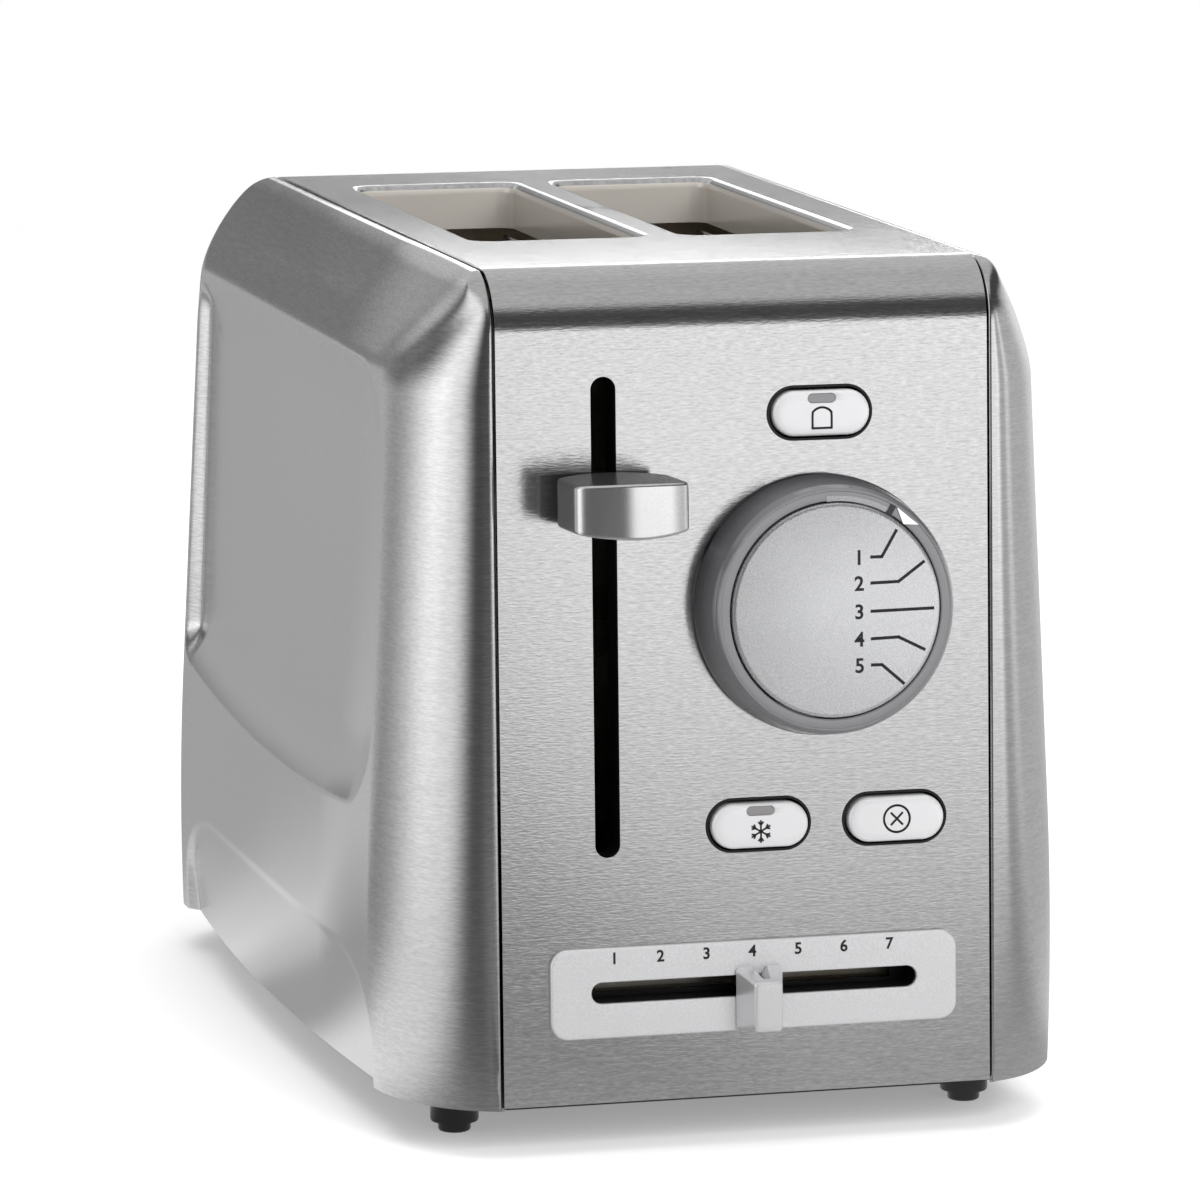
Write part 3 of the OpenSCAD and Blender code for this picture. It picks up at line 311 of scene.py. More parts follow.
class Paint:
    # one material under construction
    def __init__(self, name, tree=None):
        if tree is None:
            self.material = bpy.data.materials.new(name)
            self.material.use_nodes = True
            tree = self.material.node_tree
        self.tree = tree
        self.tree.nodes.clear()

    def node(self, kind, settings=None, inputs=None, out=0):
        made = self.tree.nodes.new("ShaderNode" + kind)
        for key, value in (settings or {}).items():
            setattr(made, key, value)
        for key, value in (inputs or {}).items():
            socket = made.inputs[key]
            if isinstance(value, Value):
                self.tree.links.new(value.socket, socket)
            else:
                socket.default_value = value
        return Value(self, made.outputs[out])

    def maths(self, operation, *terms):
        return self.node("Math", {"operation": operation}, dict(enumerate(terms)))

    def place(self, scale=1.0):
        where = self.node("TexCoord", out="Object")
        return self.node("Mapping", {}, {"Vector": where, "Scale": (scale, scale, scale)})

    def axes(self):
        return self.split(self.node("TexCoord", out="Object"))

    def split(self, vector):
        return [self.node("SeparateXYZ", {}, {0: vector}, out=axis) for axis in "XYZ"]

    def vector(self, x, y, z):
        return self.node("CombineXYZ", {}, {0: x, 1: y, 2: z})

    def noise(self, vector, scale=1.0, detail=2.0, rough=0.5):
        return self.node("TexNoise", {}, {"Vector": vector, "Scale": scale, "Detail": detail, "Roughness": rough})

    def cloud(self, *look):
        return self.noise(self.place(), *look)

    def cells(self, scale):
        # one grey per cell of a cracked pattern
        where = {"Vector": self.place(), "Scale": scale}
        shade = self.node("TexVoronoi", {"feature": "F1"}, where, out="Color")
        return self.node("SeparateColor", {}, {0: shade})

    def surface(self, shader, kind="OutputMaterial"):
        self.tree.links.new(shader.socket, self.tree.nodes.new("ShaderNode" + kind).inputs["Surface"])

    def mapRange(self, value, low, high, outLow=0.0, outHigh=1.0, kind="LINEAR"):
        return self.node("MapRange", {"interpolation_type": kind},
                         {0: value, 1: low, 2: high, 3: outLow, 4: outHigh})

    def smoothRange(self, value, low, high, outLow=0.0, outHigh=1.0):
        return self.mapRange(value, low, high, outLow, outHigh, "SMOOTHSTEP")

    def blend(self, factor, first, second):
        # colours by a factor
        return self.node("Mix", {"data_type": "RGBA"}, {0: factor, 6: first, 7: second}, out=2)

    def bump(self, height, strength=0.3, distance=0.0001):
        return self.node("Bump", {}, {"Height": height, "Strength": strength, "Distance": distance})

    def shine(self, **sockets):
        # the surface itself, with short names for its sockets
        names = {"base": "Base Color", "metal": "Metallic", "rough": "Roughness", "coat": "Coat Weight",
                 "coatRough": "Coat Roughness", "normal": "Normal", "aniso": "Anisotropic",
                 "anisoTurn": "Anisotropic Rotation", "ior": "IOR"}
        body = self.node("BsdfPrincipled", {}, {names[k]: v for k, v in sockets.items()})
        self.surface(body)
        return self.material


def grey(v):
    return (v, v, v, 1.0)


def tone(colour, share=1.0):
    # a colour made darker or paler by a share, never past white
    return tuple(min(1, c * share) for c in colour) + (1,)


# grain: scratches per metre along and across, and how deep they are; then the slow bow of the sheet
coverSteel = dict(base=0.67, spread=0.09, rough=0.17, roughSpread=0.06, clouds=0.05, along=480.0,
                  across=2500.0, depth=3.4e-5, crown=0.115, crownAt=0.062)
panelSteel = dict(base=0.66, spread=0.06, rough=0.18, roughSpread=0.05, clouds=0.015, along=480.0,
                  across=2600.0, depth=2e-5, bow=0.0040, bowFrom=0.050, bowTo=0.125,
                  rearBow=0.0022, rearBowTo=0.133)
steelGrain = dict(broadAlong=110.0, broadAcross=1300.0, fineShare=0.65, seen=(0.36, 0.64), aniso=0.4,
                  anisoTurn=0.25)
# the pressed flats of a side panel are worn smooth; distances from its middle and from its top
wornFlats = dict(endFrom=0.088, endTo=0.106, facetFrom=0.030, facetTo=0.022, smoothed=0.8)
slotLips = dict(middle=0.0244, half=0.0205, long=0.0740, sunk=0.0012, deep=0.03, lessMetal=0.75,
                tone=(0.58, 0.545, 0.50, 1))


def brushedSteel(name, look, wrapped):
    # level scratches, carried over the rolls of a wrapped sheet, on a sheet that bows slowly
    p = Paint(name)
    x, y, z = p.axes()
    G, W, L = steelGrain, wornFlats, slotLips
    across = z - abs(y - midY) if wrapped else z
    along = 0.0 if wrapped else y
    fine = p.noise(p.vector(x * look["along"], along * look["along"], across * look["across"]), 1.0, 1.5, 0.6)
    broad = p.noise(p.vector(x * G["broadAlong"], along * G["broadAlong"], across * G["broadAcross"]), 1.0, 2.0, 0.5)
    cloud = p.noise(p.place(9), 1.0, 2.0, 0.5)
    streak = fine * G["fineShare"] + broad * (1 - G["fineShare"])
    if not wrapped:
        ends = p.smoothRange(abs(y - midY), W["endFrom"], W["endTo"])
        facet = p.smoothRange(z, topZ - W["facetFrom"], topZ - W["facetTo"])
        keep = 1 - (1 - ends) * (1 - facet) * W["smoothed"]
        streak = streak * keep + (1 - keep) * 0.5
    low, high = look["base"] - look["spread"], look["base"] + look["spread"]
    colour = p.blend(p.mapRange(streak, *G["seen"]), (low, low, low * 1.005, 1), (high, high, high * 1.005, 1))
    rough = look["rough"] + (broad - 0.5) * look["roughSpread"] + (cloud - 0.5) * look["clouds"]
    metal = 1.0
    if wrapped:
        bow = -(y - (frontY + look["crownAt"])) ** 2.0 * look["crown"]
        # the turned-in lips of the two slots are satin and pale
        lips = (abs(abs(x) - L["middle"]) < L["half"]) * (abs(y - midY) < L["long"])
        lips = lips * (z < topZ - L["sunk"]) * (z > topZ - L["deep"])
        metal = 1 - lips * L["lessMetal"]
        colour = p.blend(lips, colour, L["tone"])
    else:
        bow = p.smoothRange(midY - y, look["bowFrom"], look["bowTo"], 0.0, -look["bow"])
        bow = bow + p.smoothRange(y - midY, 0.0, look["rearBowTo"], 0.0, -look["rearBow"])
    return p.shine(base=colour, metal=metal, rough=rough, aniso=G["aniso"], anisoTurn=G["anisoTurn"],
                   normal=p.bump(streak + bow * (1 / look["depth"]), 1.0, look["depth"]))


def plainPlastic(name, colour, rough, grain=2500.0, depth=0.00001, coat=0.0, metal=0.0, mottle=0.04):
    # moulded plastic: a fine moulded grain and a slight mottle
    p = Paint(name)
    fine = p.cloud(grain, 3.0, 0.6)
    cloud = p.cloud(45.0, 3.0, 0.5)
    shade = p.blend(p.mapRange(cloud, 0.3, 0.7), tone(colour, 1 - mottle), tone(colour, 1 + mottle))
    return p.shine(base=shade, metal=metal,
                   rough=rough + (cloud - 0.5) * 0.08 + (fine - 0.5) * 0.05, coat=coat, coatRough=0.08,
                   normal=p.bump(fine, 0.6, depth))


def sparkleSilver(name, colour, rough, metal, grain, contrast, coat=0.0, dome=None):
    # silver lacquer with fine metal flakes; a dome is (across, high, fall per square metre)
    p = Paint(name)
    flake = p.cloud(grain, 2.0, 0.7)
    cloud = p.cloud(60.0, 2.0, 0.5)
    depth, height = 0.00001, flake * 0.5
    if dome:
        # minus the square of the distance from its middle
        across, high, fall = dome
        x, y, z = p.axes()
        height = height + ((x - across) ** 2.0 + (z - high) ** 2.0) * (-fall / depth)
    shade = p.blend(p.mapRange(flake, 0.38, 0.62), tone(colour, 1 - contrast), tone(colour, 1 + contrast))
    return p.shine(base=shade, metal=metal,
                   rough=rough + (flake - 0.5) * 0.15 + (cloud - 0.5) * 0.06, coat=coat, coatRough=0.15,
                   normal=p.bump(height, 1.0, depth))


def zincSheet(name, colour, tint):
    # plated sheet with a faint crystal pattern and heat tint
    p = Paint(name)
    crystal = p.cells(260.0)
    cloud = p.cloud(24.0, 4.0, 0.6)
    plain = p.blend(crystal, tone(colour, 0.88), tone(colour, 1.1))
    shade = p.blend(p.mapRange(cloud, 0.4, 0.75, 0.0, 0.6), plain, tone(tint))
    return p.shine(base=shade, metal=1.0, rough=0.36 + crystal * 0.1 + (cloud - 0.5) * 0.15,
                   normal=p.bump(cloud, 0.2, 0.0002))


def micaCard(name):
    # pressed mica: pale flakes with a soft sheen
    p = Paint(name)
    flakes = p.cells(420.0)
    cloud = p.cloud(30.0, 4.0, 0.6)
    plain = p.blend(flakes, (0.46, 0.38, 0.25, 1), (0.66, 0.58, 0.42, 1))
    return p.shine(base=p.blend(p.mapRange(cloud, 0.45, 0.8, 0.0, 0.5), plain, (0.36, 0.27, 0.16, 1)),
                   metal=0.15, rough=0.4 + flakes * 0.2, normal=p.bump(flakes, 0.3, 0.00005))


def roundWire(name, colour, rough):
    # drawn wire with darker patches
    p = Paint(name)
    cloud = p.cloud(180.0, 3.0, 0.6)
    shade = p.blend(p.mapRange(cloud, 0.35, 0.75), tone(colour), tone(colour, 0.7))
    return p.shine(base=shade, metal=1.0, rough=rough + (cloud - 0.5) * 0.2)


def copperCoil(name):
    # enamelled wire wound in level turns
    p = Paint(name)
    x, y, z = p.axes()
    turns = p.maths("SINE", z * 12000.0)
    return p.shine(base=p.blend(p.mapRange(turns, -1, 1), (0.28, 0.09, 0.03, 1), (0.72, 0.32, 0.14, 1)), metal=1.0,
                   rough=0.3 + turns * 0.05, normal=p.bump(turns, 0.7, 0.00008))


def circuitBoard(name):
    # green lacquer over copper tracks
    p = Paint(name)
    layout = {"Vector": p.place(), "Scale": 90.0, "Mortar Size": 0.03}
    tracks = p.node("TexBrick", {"offset": 0.5}, layout, out="Fac")
    cloud = p.cloud(300.0, 2.0, 0.5)
    return p.shine(base=p.blend(tracks, (0.02, 0.13, 0.05, 1), (0.06, 0.24, 0.09, 1)),
                   rough=0.28 + (cloud - 0.5) * 0.1, normal=p.bump(tracks, 0.3, 3e-5))


def ringGrey(name, look):
    # smoky glossy plastic, with painted shade that darkens it towards its foot by the panel
    p = Paint(name)
    x, y, z = p.axes()
    out = (frontY - y) * cos(lean) + (z - coverZ) * sin(lean)
    cloud = p.cloud(70.0, 3.0, 0.5)
    # painted shade: the colour runs from the dark foot up to the paler front of the ring
    lift = p.smoothRange(out, look["low"], look["high"])
    return p.shine(base=p.blend(lift, tone(look["foot"]), tone(look["front"])), coat=1.0, coatRough=0.04, ior=1.5,
                   rough=look["rough"] + (cloud - 0.5) * 0.04)


# foot and front are the two ends of a painted shade gradient on the dial ring, dark at the foot
dialRing = dict(foot=(0.055, 0.055, 0.06), front=(0.15, 0.15, 0.158), low=0.001, high=0.011, rough=0.11)
dialMiddle = centreOf("dial_face")
# name: (what makes it, then what that takes)
finishes = {
    "coverSteel": (brushedSteel, coverSteel, True), "panelSteel": (brushedSteel, panelSteel, False),
    "silverKnob": (sparkleSilver, (0.79, 0.79, 0.80), 0.20, 0.96, 3400.0, 0.06),
    "satinSilver": (sparkleSilver, (0.66, 0.66, 0.67), 0.24, 0.55, 4200.0, 0.03),
    "silverPlate": (sparkleSilver, (0.67, 0.67, 0.68), 0.33, 0.45, 2600.0, 0.06),
    # painted refraction: a paler grey for the band beside the pointer
    "shelfGrey": (sparkleSilver, (0.30, 0.30, 0.31), 0.3, 0.3, 2600.0, 0.12, 0.6),
    "silverDial": (sparkleSilver, (0.79, 0.79, 0.805), 0.29, 0.9, 2200.0, 0.10, 0, (dialMiddle.x, dialMiddle.z, 1.4)),
    "paleKey": (plainPlastic, (0.68, 0.68, 0.69), 0.30, 1800.0, 6e-6, 0.15, 0.3, 0.02),
    "inkBlack": (plainPlastic, (0.012, 0.012, 0.013), 0.5, 1200.0, 3e-6),
    "lensGrey": (plainPlastic, (0.19, 0.185, 0.19), 0.2, 900.0, 4e-6, 0.4),
    "slotBlack": (plainPlastic, (0.008, 0.008, 0.009), 0.42, 900.0, 1e-5),
    "baseBlack": (plainPlastic, (0.022, 0.022, 0.024), 0.48, 1500.0, 3e-5),
    "footBlack": (plainPlastic, (0.010, 0.010, 0.011), 0.2, 700.0, 4e-6, 0.5),
    "darkPlastic": (plainPlastic, (0.03, 0.03, 0.033), 0.42, 1400.0, 2e-5),
    "whitePointer": (plainPlastic, (0.82, 0.82, 0.83), 0.18, 900.0, 4e-6, 0.8),
    "lampWhite": (plainPlastic, (0.75, 0.7, 0.6), 0.25, 900.0, 4e-6, 0.5),
    "zincPlate": (zincSheet, (0.60, 0.585, 0.54), (0.42, 0.34, 0.22)),
    "trayZinc": (zincSheet, (0.62, 0.62, 0.62), (0.5, 0.48, 0.44)), "micaCard": (micaCard,),
    "ribbonMetal": (roundWire, (0.42, 0.37, 0.34), 0.4), "brightWire": (roundWire, (0.68, 0.67, 0.64), 0.22),
    "springWire": (roundWire, (0.4, 0.4, 0.42), 0.3), "ironCore": (roundWire, (0.33, 0.33, 0.34), 0.45),
    "copperCoil": (copperCoil,), "boardGreen": (circuitBoard,), "smokeRing": (ringGrey, dialRing),
}
paints = {name: make(name, *look) for name, (make, *look) in finishes.items()}
cadFinish = {
    "zincPlate": "front_end_plate rear_end_plate left_heat_shield right_heat_shield carriage_bracket left_bread_rack "
                 "right_bread_rack slide_potentiometer",
    "brightWire": "guide_left_outer guide_left_inner guide_right_inner guide_right_outer guide_rods",
    "micaCard": "heater_card_left heater_card_centre heater_card_right",
    "ribbonMetal": "heating_ribbon_left heating_ribbon_centre heating_ribbon_right",
    "springWire": "base_screws lift_spring board_screws",
    "darkPlastic": "cord_gland power_switch board_components key_switches dial_encoder",
    "slotBlack": "control_carrier lever_slot_liner slider_channel", "ironCore": "keeper_plate magnet_core",
    "copperCoil": "magnet_coil", "baseBlack": "base_pan", "trayZinc": "crumb_tray", "boardGreen": "control_board",
    "lampWhite": "indicator_lamps",
}
for name, nodes in cadFinish.items():
    for node in nodes.split():
        cad[node].data.materials.clear()
        cad[node].data.materials.append(paints[name])
print("finishes made:", len(bpy.data.materials))


# metres; y is measured from the front edge and z from the table
panel = dict(
    # half width at the foot, its lean per metre of height, and the plane of the seam with the cover
    foot=0.0110, reach=0.0812, lean=tan(radians(2.4)), seam=0.0567,
    # roll over the top, then the corner seen from above with its superellipse power, front and rear
    roll=0.014, rearRoll=0.040, pillar=0.0320, power=1.85, rearPillar=0.0265, rearPower=1.7,
    # facet above the crease: its inset at the top edge, its small quarter round, the softness of the crease
    crease=0.024, facetTop=0.0095, lipHigh=0.003, lipReach=0.004, creaseSoft=0.0012,
    # the front corner turns over the top in one dome, parted from the facet by a slanting mitre
    shoulder=0.028, shoulderPower=1.56, mitre=0.0545, mitreSoft=0.021, mitreRun=1.56,
    # the foot tucks in at both ends
    tuck=0.0025, tuckRise=0.060,
    # the sunk flat: depth, sagging lower edge, corner radii, inset and width of its steep ends
    scoop=0.0036, scoopSpan=0.031, scoopLow=0.074, scoopSag=0.0065, scoopRadius=0.024,
    scoopRearRadius=0.009, scoopWall=0.017, scoopTurn=0.012, frontInset=0.0345, scoopSide=0.0085,
    rearInset=0.0268, rearSide=0.0042, sideEase=0.12,
    # the arch along the foot: height, inset, step at its edge, and more depth lower down and at its ends
    arch=0.039, archInset=0.031, archRadius=0.019, archSquash=0.55, archStep=0.00035,
    archLow=0.0009, archEnds=0.0015, archFall=0.028, archWall=0.0018, archEase=0.2,
    # rounded edge along the seam, flange behind it, hem along the foot, thickness of the sheet
    edge=0.0007, flange=0.0045, hem=0.0012, thick=0.0008, topGap=0.0003, cols=250, rows=170,
    # where columns and rows crowd together: (share of the length from either end, or height; reach, weight)
    endMarks=[(0, 0.012, 5), (0.15, 0.025, 2), (0.06, 0.05, 1), (0.116, 0.012, 2)],
    rowMarks=[(topZ, 0.006, 5), (topZ - 0.024, 0.006, 2), (0.070, 0.008, 2), (0.039, 0.004, 2)],
)


def unit(v):
    return np.clip(v, 0, 1)


def ease(v):
    # 0 to 1 with a steep start and a level end: 2 v - v squared
    t = unit(v)
    return t * (2 - t)


def smooth(v):
    # 0 to 1 with level ends: 3 v squared - 2 v cubed
    t = unit(v)
    return t * t * (3 - 2 * t)


def ramp(v, soft):
    # straight from 0 to 1 with both corners eased over a share of its length
    def corner(t):
        return np.where(t < -soft, 0, np.where(t > soft, t, (t + soft) ** 2 / (4 * soft)))

    return 1 - corner(1 - corner(v))


def rise(v, power):
    # superellipse quarter: 0 at the edge with a steep start, 1 from v = 1 on
    return np.maximum(0, 1 - (1 - unit(v)) ** power) ** (1 / power)


def inside(dx, dz, r):
    # distance inside a rounded outline from the distances to its two sides
    qx, qz = r - dx, r - dz
    return r - np.hypot(np.maximum(qx, 0), np.maximum(qz, 0)) - np.minimum(np.maximum(qx, qz), 0)


def rollCentre(roll):
    # (y, z) of the axis of a roll that meets the leaning face and the level top
    z = topZ - roll
    return (roll + (z - coverZ) * sin(lean)) / cos(lean), z


def panelEdgeY(z, roll):
    # how far inside the foot's edge the seam runs at a height: straight, then round the roll
    rollY, rollZ = rollCentre(roll)
    low = (z - coverZ) * tan(lean)
    high = rollY - np.sqrt(np.maximum(0, roll ** 2 - (z - rollZ) ** 2))
    return np.where(z < rollZ, low, high)


def panelSkin(y, z):
    # distance of the skin from the seam plane
    P = panel
    fore, end, drop = y < bodyD / 2, np.minimum(y, bodyD - y), topZ - z
    along = (y - bodyD / 2) / (bodyD / 2 - P["scoopSpan"])
    # main sheet: the full width at this height times a superellipse quarter of the distance from the seam
    fromSeam = np.minimum(y - panelEdgeY(z, P["roll"]), bodyD - y - panelEdgeY(z, P["rearRoll"]))
    full = P["reach"] - P["seam"] - (z - P["foot"]) * P["lean"]
    pillar = full * rise(fromSeam / np.where(fore, P["pillar"], P["rearPillar"]),
                         np.where(fore, P["power"], P["rearPower"]))
    # facet: a small quarter round and an even slope down from the top edge; the smooth lesser of it and the sheet
    slope = (P["reach"] - P["seam"] - P["facetTop"]) / P["crease"]
    facet = P["lipHigh"] * rise(drop / P["lipReach"], 2) + drop * slope
    share, soft = unit(0.5 + 0.5 * (pillar - facet) / P["creaseSoft"]), P["creaseSoft"]
    middle = pillar + (facet - pillar) * share - soft * share * (1 - share)
    # front corner: the sheet times a superellipse quarter of the drop, blended in ahead of the mitre line
    corner = pillar * rise(drop / P["shoulder"], P["shoulderPower"])
    turned = unit((P["mitre"] - P["mitreRun"] * (P["crease"] - drop) - y) / P["mitreSoft"])
    base = middle + (corner - middle) * turned * (1.6 - 0.6 * turned) * turned ** 0.5
    # sunk flat: steep straight ramps at its ends and a soft slope along its foot, changing over at the corners
    low = P["scoopLow"] - P["scoopSag"] * (1 - along ** 2)
    dy = end - np.where(fore, P["frontInset"], P["rearInset"])
    dz = np.minimum(z - low, topZ - P["crease"] - z)
    s = inside(dy, dz, np.where(along < 0, P["scoopRadius"], P["scoopRearRadius"]))
    steep = smooth(0.5 + (dz - dy) / P["scoopTurn"])
    sides = ramp(s / np.where(fore, P["scoopSide"], P["rearSide"]), P["sideEase"])
    scoop = P["scoop"] * (sides * steep + ease(s / P["scoopWall"]) * (1 - steep))
    # arch: a fine step, growing with the fall below its top and with the square of the way to its ends
    a = inside((end - P["archInset"]) * P["archSquash"], P["arch"] - z, P["archRadius"])
    deep = P["archStep"] + (P["archLow"] + P["archEnds"] * along ** 2) * unit((P["arch"] - z) / P["archFall"])
    arch = deep * ramp(a / P["archWall"], P["archEase"])
    tuck = P["tuck"] * (1 - unit((z - P["foot"]) / P["tuckRise"])) ** 2 * np.minimum(1, along ** 2)
    # never nearer the seam plane than the rounded edge: the root of the sum of the two squares
    return np.sqrt(np.maximum(0, base - scoop - arch - tuck) ** 2 + P["edge"] ** 2)


def spaced(low, high, count, marks):
    # positions from low to high, closer together near the marks (place, reach, weight)
    t = np.linspace(low, high, 4000)
    density = np.ones_like(t)
    for place, reach, weight in marks:
        density += weight * np.exp(-((t - place) / reach) ** 2)
    total = np.concatenate([[0], np.cumsum((density[1:] + density[:-1]) / 2)])
    return np.interp(np.linspace(0, total[-1], count), total, t)


def seamOut(loop):
    # which way is out of the cover along the seam: off the face, round the roll, then straight up
    fore = loop[:, 1] < bodyD / 2
    face = np.where(fore, 1.0, -1.0)
    y, z = np.where(fore, loop[:, 1], bodyD - loop[:, 1]), loop[:, 2]
    roll = np.where(fore, panel["roll"], panel["rearRoll"])
    rollY, rollZ = rollCentre(roll)
    flat, over = z <= rollZ, y >= rollY
    out = np.zeros_like(loop)
    out[:, 1] = np.where(flat, -cos(lean) * face, np.where(over, 0, face * (y - rollY) / roll))
    out[:, 2] = np.where(flat, sin(lean), np.where(over, 1.0, (z - rollZ) / roll))
    return out


def panelSheet():
    # the skin as a grid, a rounded edge and a flange along the seam, and a hem along the foot
    P = panel
    cols, rows = P["cols"], P["rows"]
    share = spaced(0, 1, cols, [(place, *rest) for near, *rest in P["endMarks"] for place in (near, 1 - near)])
    z = np.repeat(spaced(P["foot"], topZ - P["topGap"], rows, P["rowMarks"])[:, None], cols, 1)
    y0, y1 = panelEdgeY(z, P["roll"]), panelEdgeY(z, P["rearRoll"])
    y = y0 + share[None, :] * (bodyD - y0 - y1)
    skin = np.stack([P["seam"] + panelSkin(y, z), y, z], axis=-1)
    skin[:, [0, -1], 0] = P["seam"] + P["edge"]
    skin[-1, :, 0] = P["seam"] + P["edge"]
    # the loop along the seam: up the front, over the top and down the rear
    index = np.arange(rows * cols).reshape(rows, cols)
    last = np.concatenate([index[:, 0], index[-1, 1:-1], index[::-1, -1]])
    loop = skin.reshape(-1, 3)[last]
    out = seamOut(loop)
    turn = np.linspace(0, pi / 2, 6)[1:]
    drops = [(P["edge"] * (1 - sin(t)), P["edge"] * (1 - cos(t))) for t in turn] + [(0.0, P["flange"])]
    parts, faces = [skin.reshape(-1, 3)], gridFaces(rows, cols, False)
    for k, (aside, depth) in enumerate(drops):
        ring = loop - out * depth
        ring[:, 0] = P["seam"] + aside
        parts.append(ring)
        now = rows * cols + k * len(loop) + np.arange(len(loop))
        faces += np.stack([last[:-1], last[1:], now[1:], now[:-1]], axis=1).tolist()
        last = now
    hem = skin[0].copy()
    hem[:, 0] -= P["hem"]
    start, k = sum(len(part) for part in parts), np.arange(cols)
    faces += np.stack([k[:-1], start + k[:-1], start + k[1:], k[1:]], axis=1).tolist()
    return np.concatenate(parts + [hem]), faces


def sidePanel(side):
    def outward(work):
        # the sheet is open, so a face in the middle of it shows which way round it came out
        bmesh.ops.recalc_face_normals(work, faces=work.faces)
        spot = Vector((side * 0.078, midY, 0.12))
        if min(work.faces, key=lambda f: (f.calc_center_median() - spot).length).normal.x * side < 0:
            bmesh.ops.reverse_faces(work, faces=work.faces)

    name = "right_side_panel" if side > 0 else "left_side_panel"
    points, faces = panelSheet()
    mesh = bpy.data.meshes.new(name + "_skin")
    mesh.from_pydata(((points + [0, frontY, 0]) * [side, 1, 1]).tolist(), [], faces)
    reworked(mesh, outward)
    piece = finishPiece(name + "_skin", mesh, "panelSteel", "housing", "stainless", [name], 50, clean=False)
    wall = piece.modifiers.new("wall", "SOLIDIFY")
    wall.thickness, wall.offset = panel["thick"], -1
    return bakeModifiers(piece)


for side in (-1, 1):
    sidePanel(side)
print("side panels drawn")

polished("wrap_cover", "coverSteel", 28)
print("cover polished")


keyShape = dict(w=0.0222, h=0.0101, front=0.0020, round=0.0009, back=-0.0034, crown=0.00012,
                crownReach=0.0015, lensW=0.0066, lensH=0.0022, lensUp=0.0033, lensSink=0.0003,
                lensGap=0.0001, lensRound=0.00015, lensBack=0.0016, window=0.0010)
# printed marks reach this far into their surface and stand this far out of it
inkSunk, inkProud = 0.0001, 0.00003


def pushKey(node, lensNode, icon):
    # a stadium key, its front crowned by the square of the distance from its edge, with a window for its lamp
    K = keyShape
    body, front = cad[node]["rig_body"], K["front"]
    cx, cs = faceSpot(node)
    steps = [(0, K["back"])] + edgeRound(K["round"], front - K["crown"])
    steps += [(K["round"] + K["crownReach"] * t, front - K["crown"] * (1 - t) ** 2) for t in (0.25, 0.5, 1.0)]
    shape = ringStack(drawnIn(K["w"], K["h"], K["h"] / 2, 16), steps)
    key = facePiece(node + "_cap", shape, (cx, cs), "paleKey", body, "silver_plastic", [node])
    if lensNode:
        w, h, r, at = K["lensW"], K["lensH"], K["lensH"] / 2, (cx, cs + K["lensUp"])
        window = ringStack(drawnIn(w, h, r), [(0, front - K["window"]), (0, front + K["window"])])
        cutAway(key, window, at, body)
        steps = [(0, front - K["lensBack"])] + edgeRound(K["lensRound"], front - K["lensSink"], 0, 4)
        lens = ringStack(drawnIn(w - K["lensGap"], h - K["lensGap"], r), steps)
        facePiece(lensNode + "_window", lens, at, "lensGrey", body, "lens_grey", [lensNode])
    facePiece(node + "_mark", strokes(*icon, front - inkSunk, front + inkProud), (cx, cs), "inkBlack", body)


def circleLines(r, cx, cy, n=28, start=0.0, sweep=2 * pi):
    a = start + np.linspace(0, sweep, n + 1)
    p = np.stack([cx + r * np.cos(a), cy + r * np.sin(a)], axis=1)
    return np.concatenate([p[:-1], p[1:]], axis=1)


def snowflake(r, cy):
    # six arms with two twigs each
    lines = []
    for k in range(6):
        a = pi / 6 + k * pi / 3
        c, s = cos(a), sin(a)
        lines.append((0, cy, r * c, cy + r * s))
        x, y = 0.6 * r * c, cy + 0.6 * r * s
        lines += [(x, y, x + 0.34 * r * cos(t), y + 0.34 * r * sin(t)) for t in (a - 0.7, a + 0.7)]
    return lines


def sliceOutline(w, h, cy):
    # a slice of bread: square foot, domed crown
    x, y, neck = w / 2, h / 2, cy + 0.15 * h
    crown = circleLines(0.62 * w, 0, cy - 0.04 * h, 12, radians(38), radians(104)).tolist()
    first, last = crown[0][:2], crown[-1][2:]
    return [(-x, cy - y, x, cy - y), (x, cy - y, x, neck), (-x, neck, -x, cy - y),
            (x, neck, *first), (*last, -x, neck)] + crown


iconUp = -0.0013
cross = [(-0.0013, -0.0013, 0.0013, 0.0013), (-0.0013, 0.0013, 0.0013, -0.0013)]
pushKey("single_key", "single_lens", (sliceOutline(0.0044, 0.0040, iconUp), 0.0005))
pushKey("defrost_key", "defrost_lens", (snowflake(0.0024, iconUp), 0.00042))
pushKey("cancel_key", None, (cross + circleLines(0.0030, 0, 0, 40).tolist(), 0.0005))
print("keys made")


# lists of steps are in millimetres, (out from a radius, up from a height)
dial = dict(foot=0.0290, front=0.0268, face=0.0238, high=0.0130, faceHigh=0.0136, faceThick=0.0022,
            start=[(2.4, 0.6)], skirt=[(-0.4, 0.6), (0, 1.0), (0, 2.8), (-0.3, 3.6)],
            rim=[(1.0, -2.2), (0.6, -1.4), (0.3, -0.8), (0.1, -0.2), (-0.2, 0.1), (-0.4, 0.1), (-0.6, -0.1)],
            lip=[(0.7, 0), (0.4, -0.2), (0.3, -0.6)], well=[(0.4, 8.0)],
            bore=[(9.2, 8.0), (9.2, 5.2)], under=[(2.4, 5.0)],
            faceEdge=[(0, -0.5), (-0.15, -0.2), (-0.5, -0.03), (-0.9, 0)],
            numeral=0.0045, numeralAt=0.0063, numeralDown=0.0002, weight=0.022, stroke=0.00070)
# the dial stands on the axis that its ring turns on
turnAxis = Vector(next(joint["pos_m"] for joint in frame["joints"] if joint["name"] == "selector_turn"))
dialAt = (turnAxis.x, (turnAxis.y - frontY) * sin(lean) + (turnAxis.z - coverZ) * cos(lean))


def stepped(radius, height, steps):
    return [(radius + dr * mm, height + dh * mm) for dr, dh in steps]


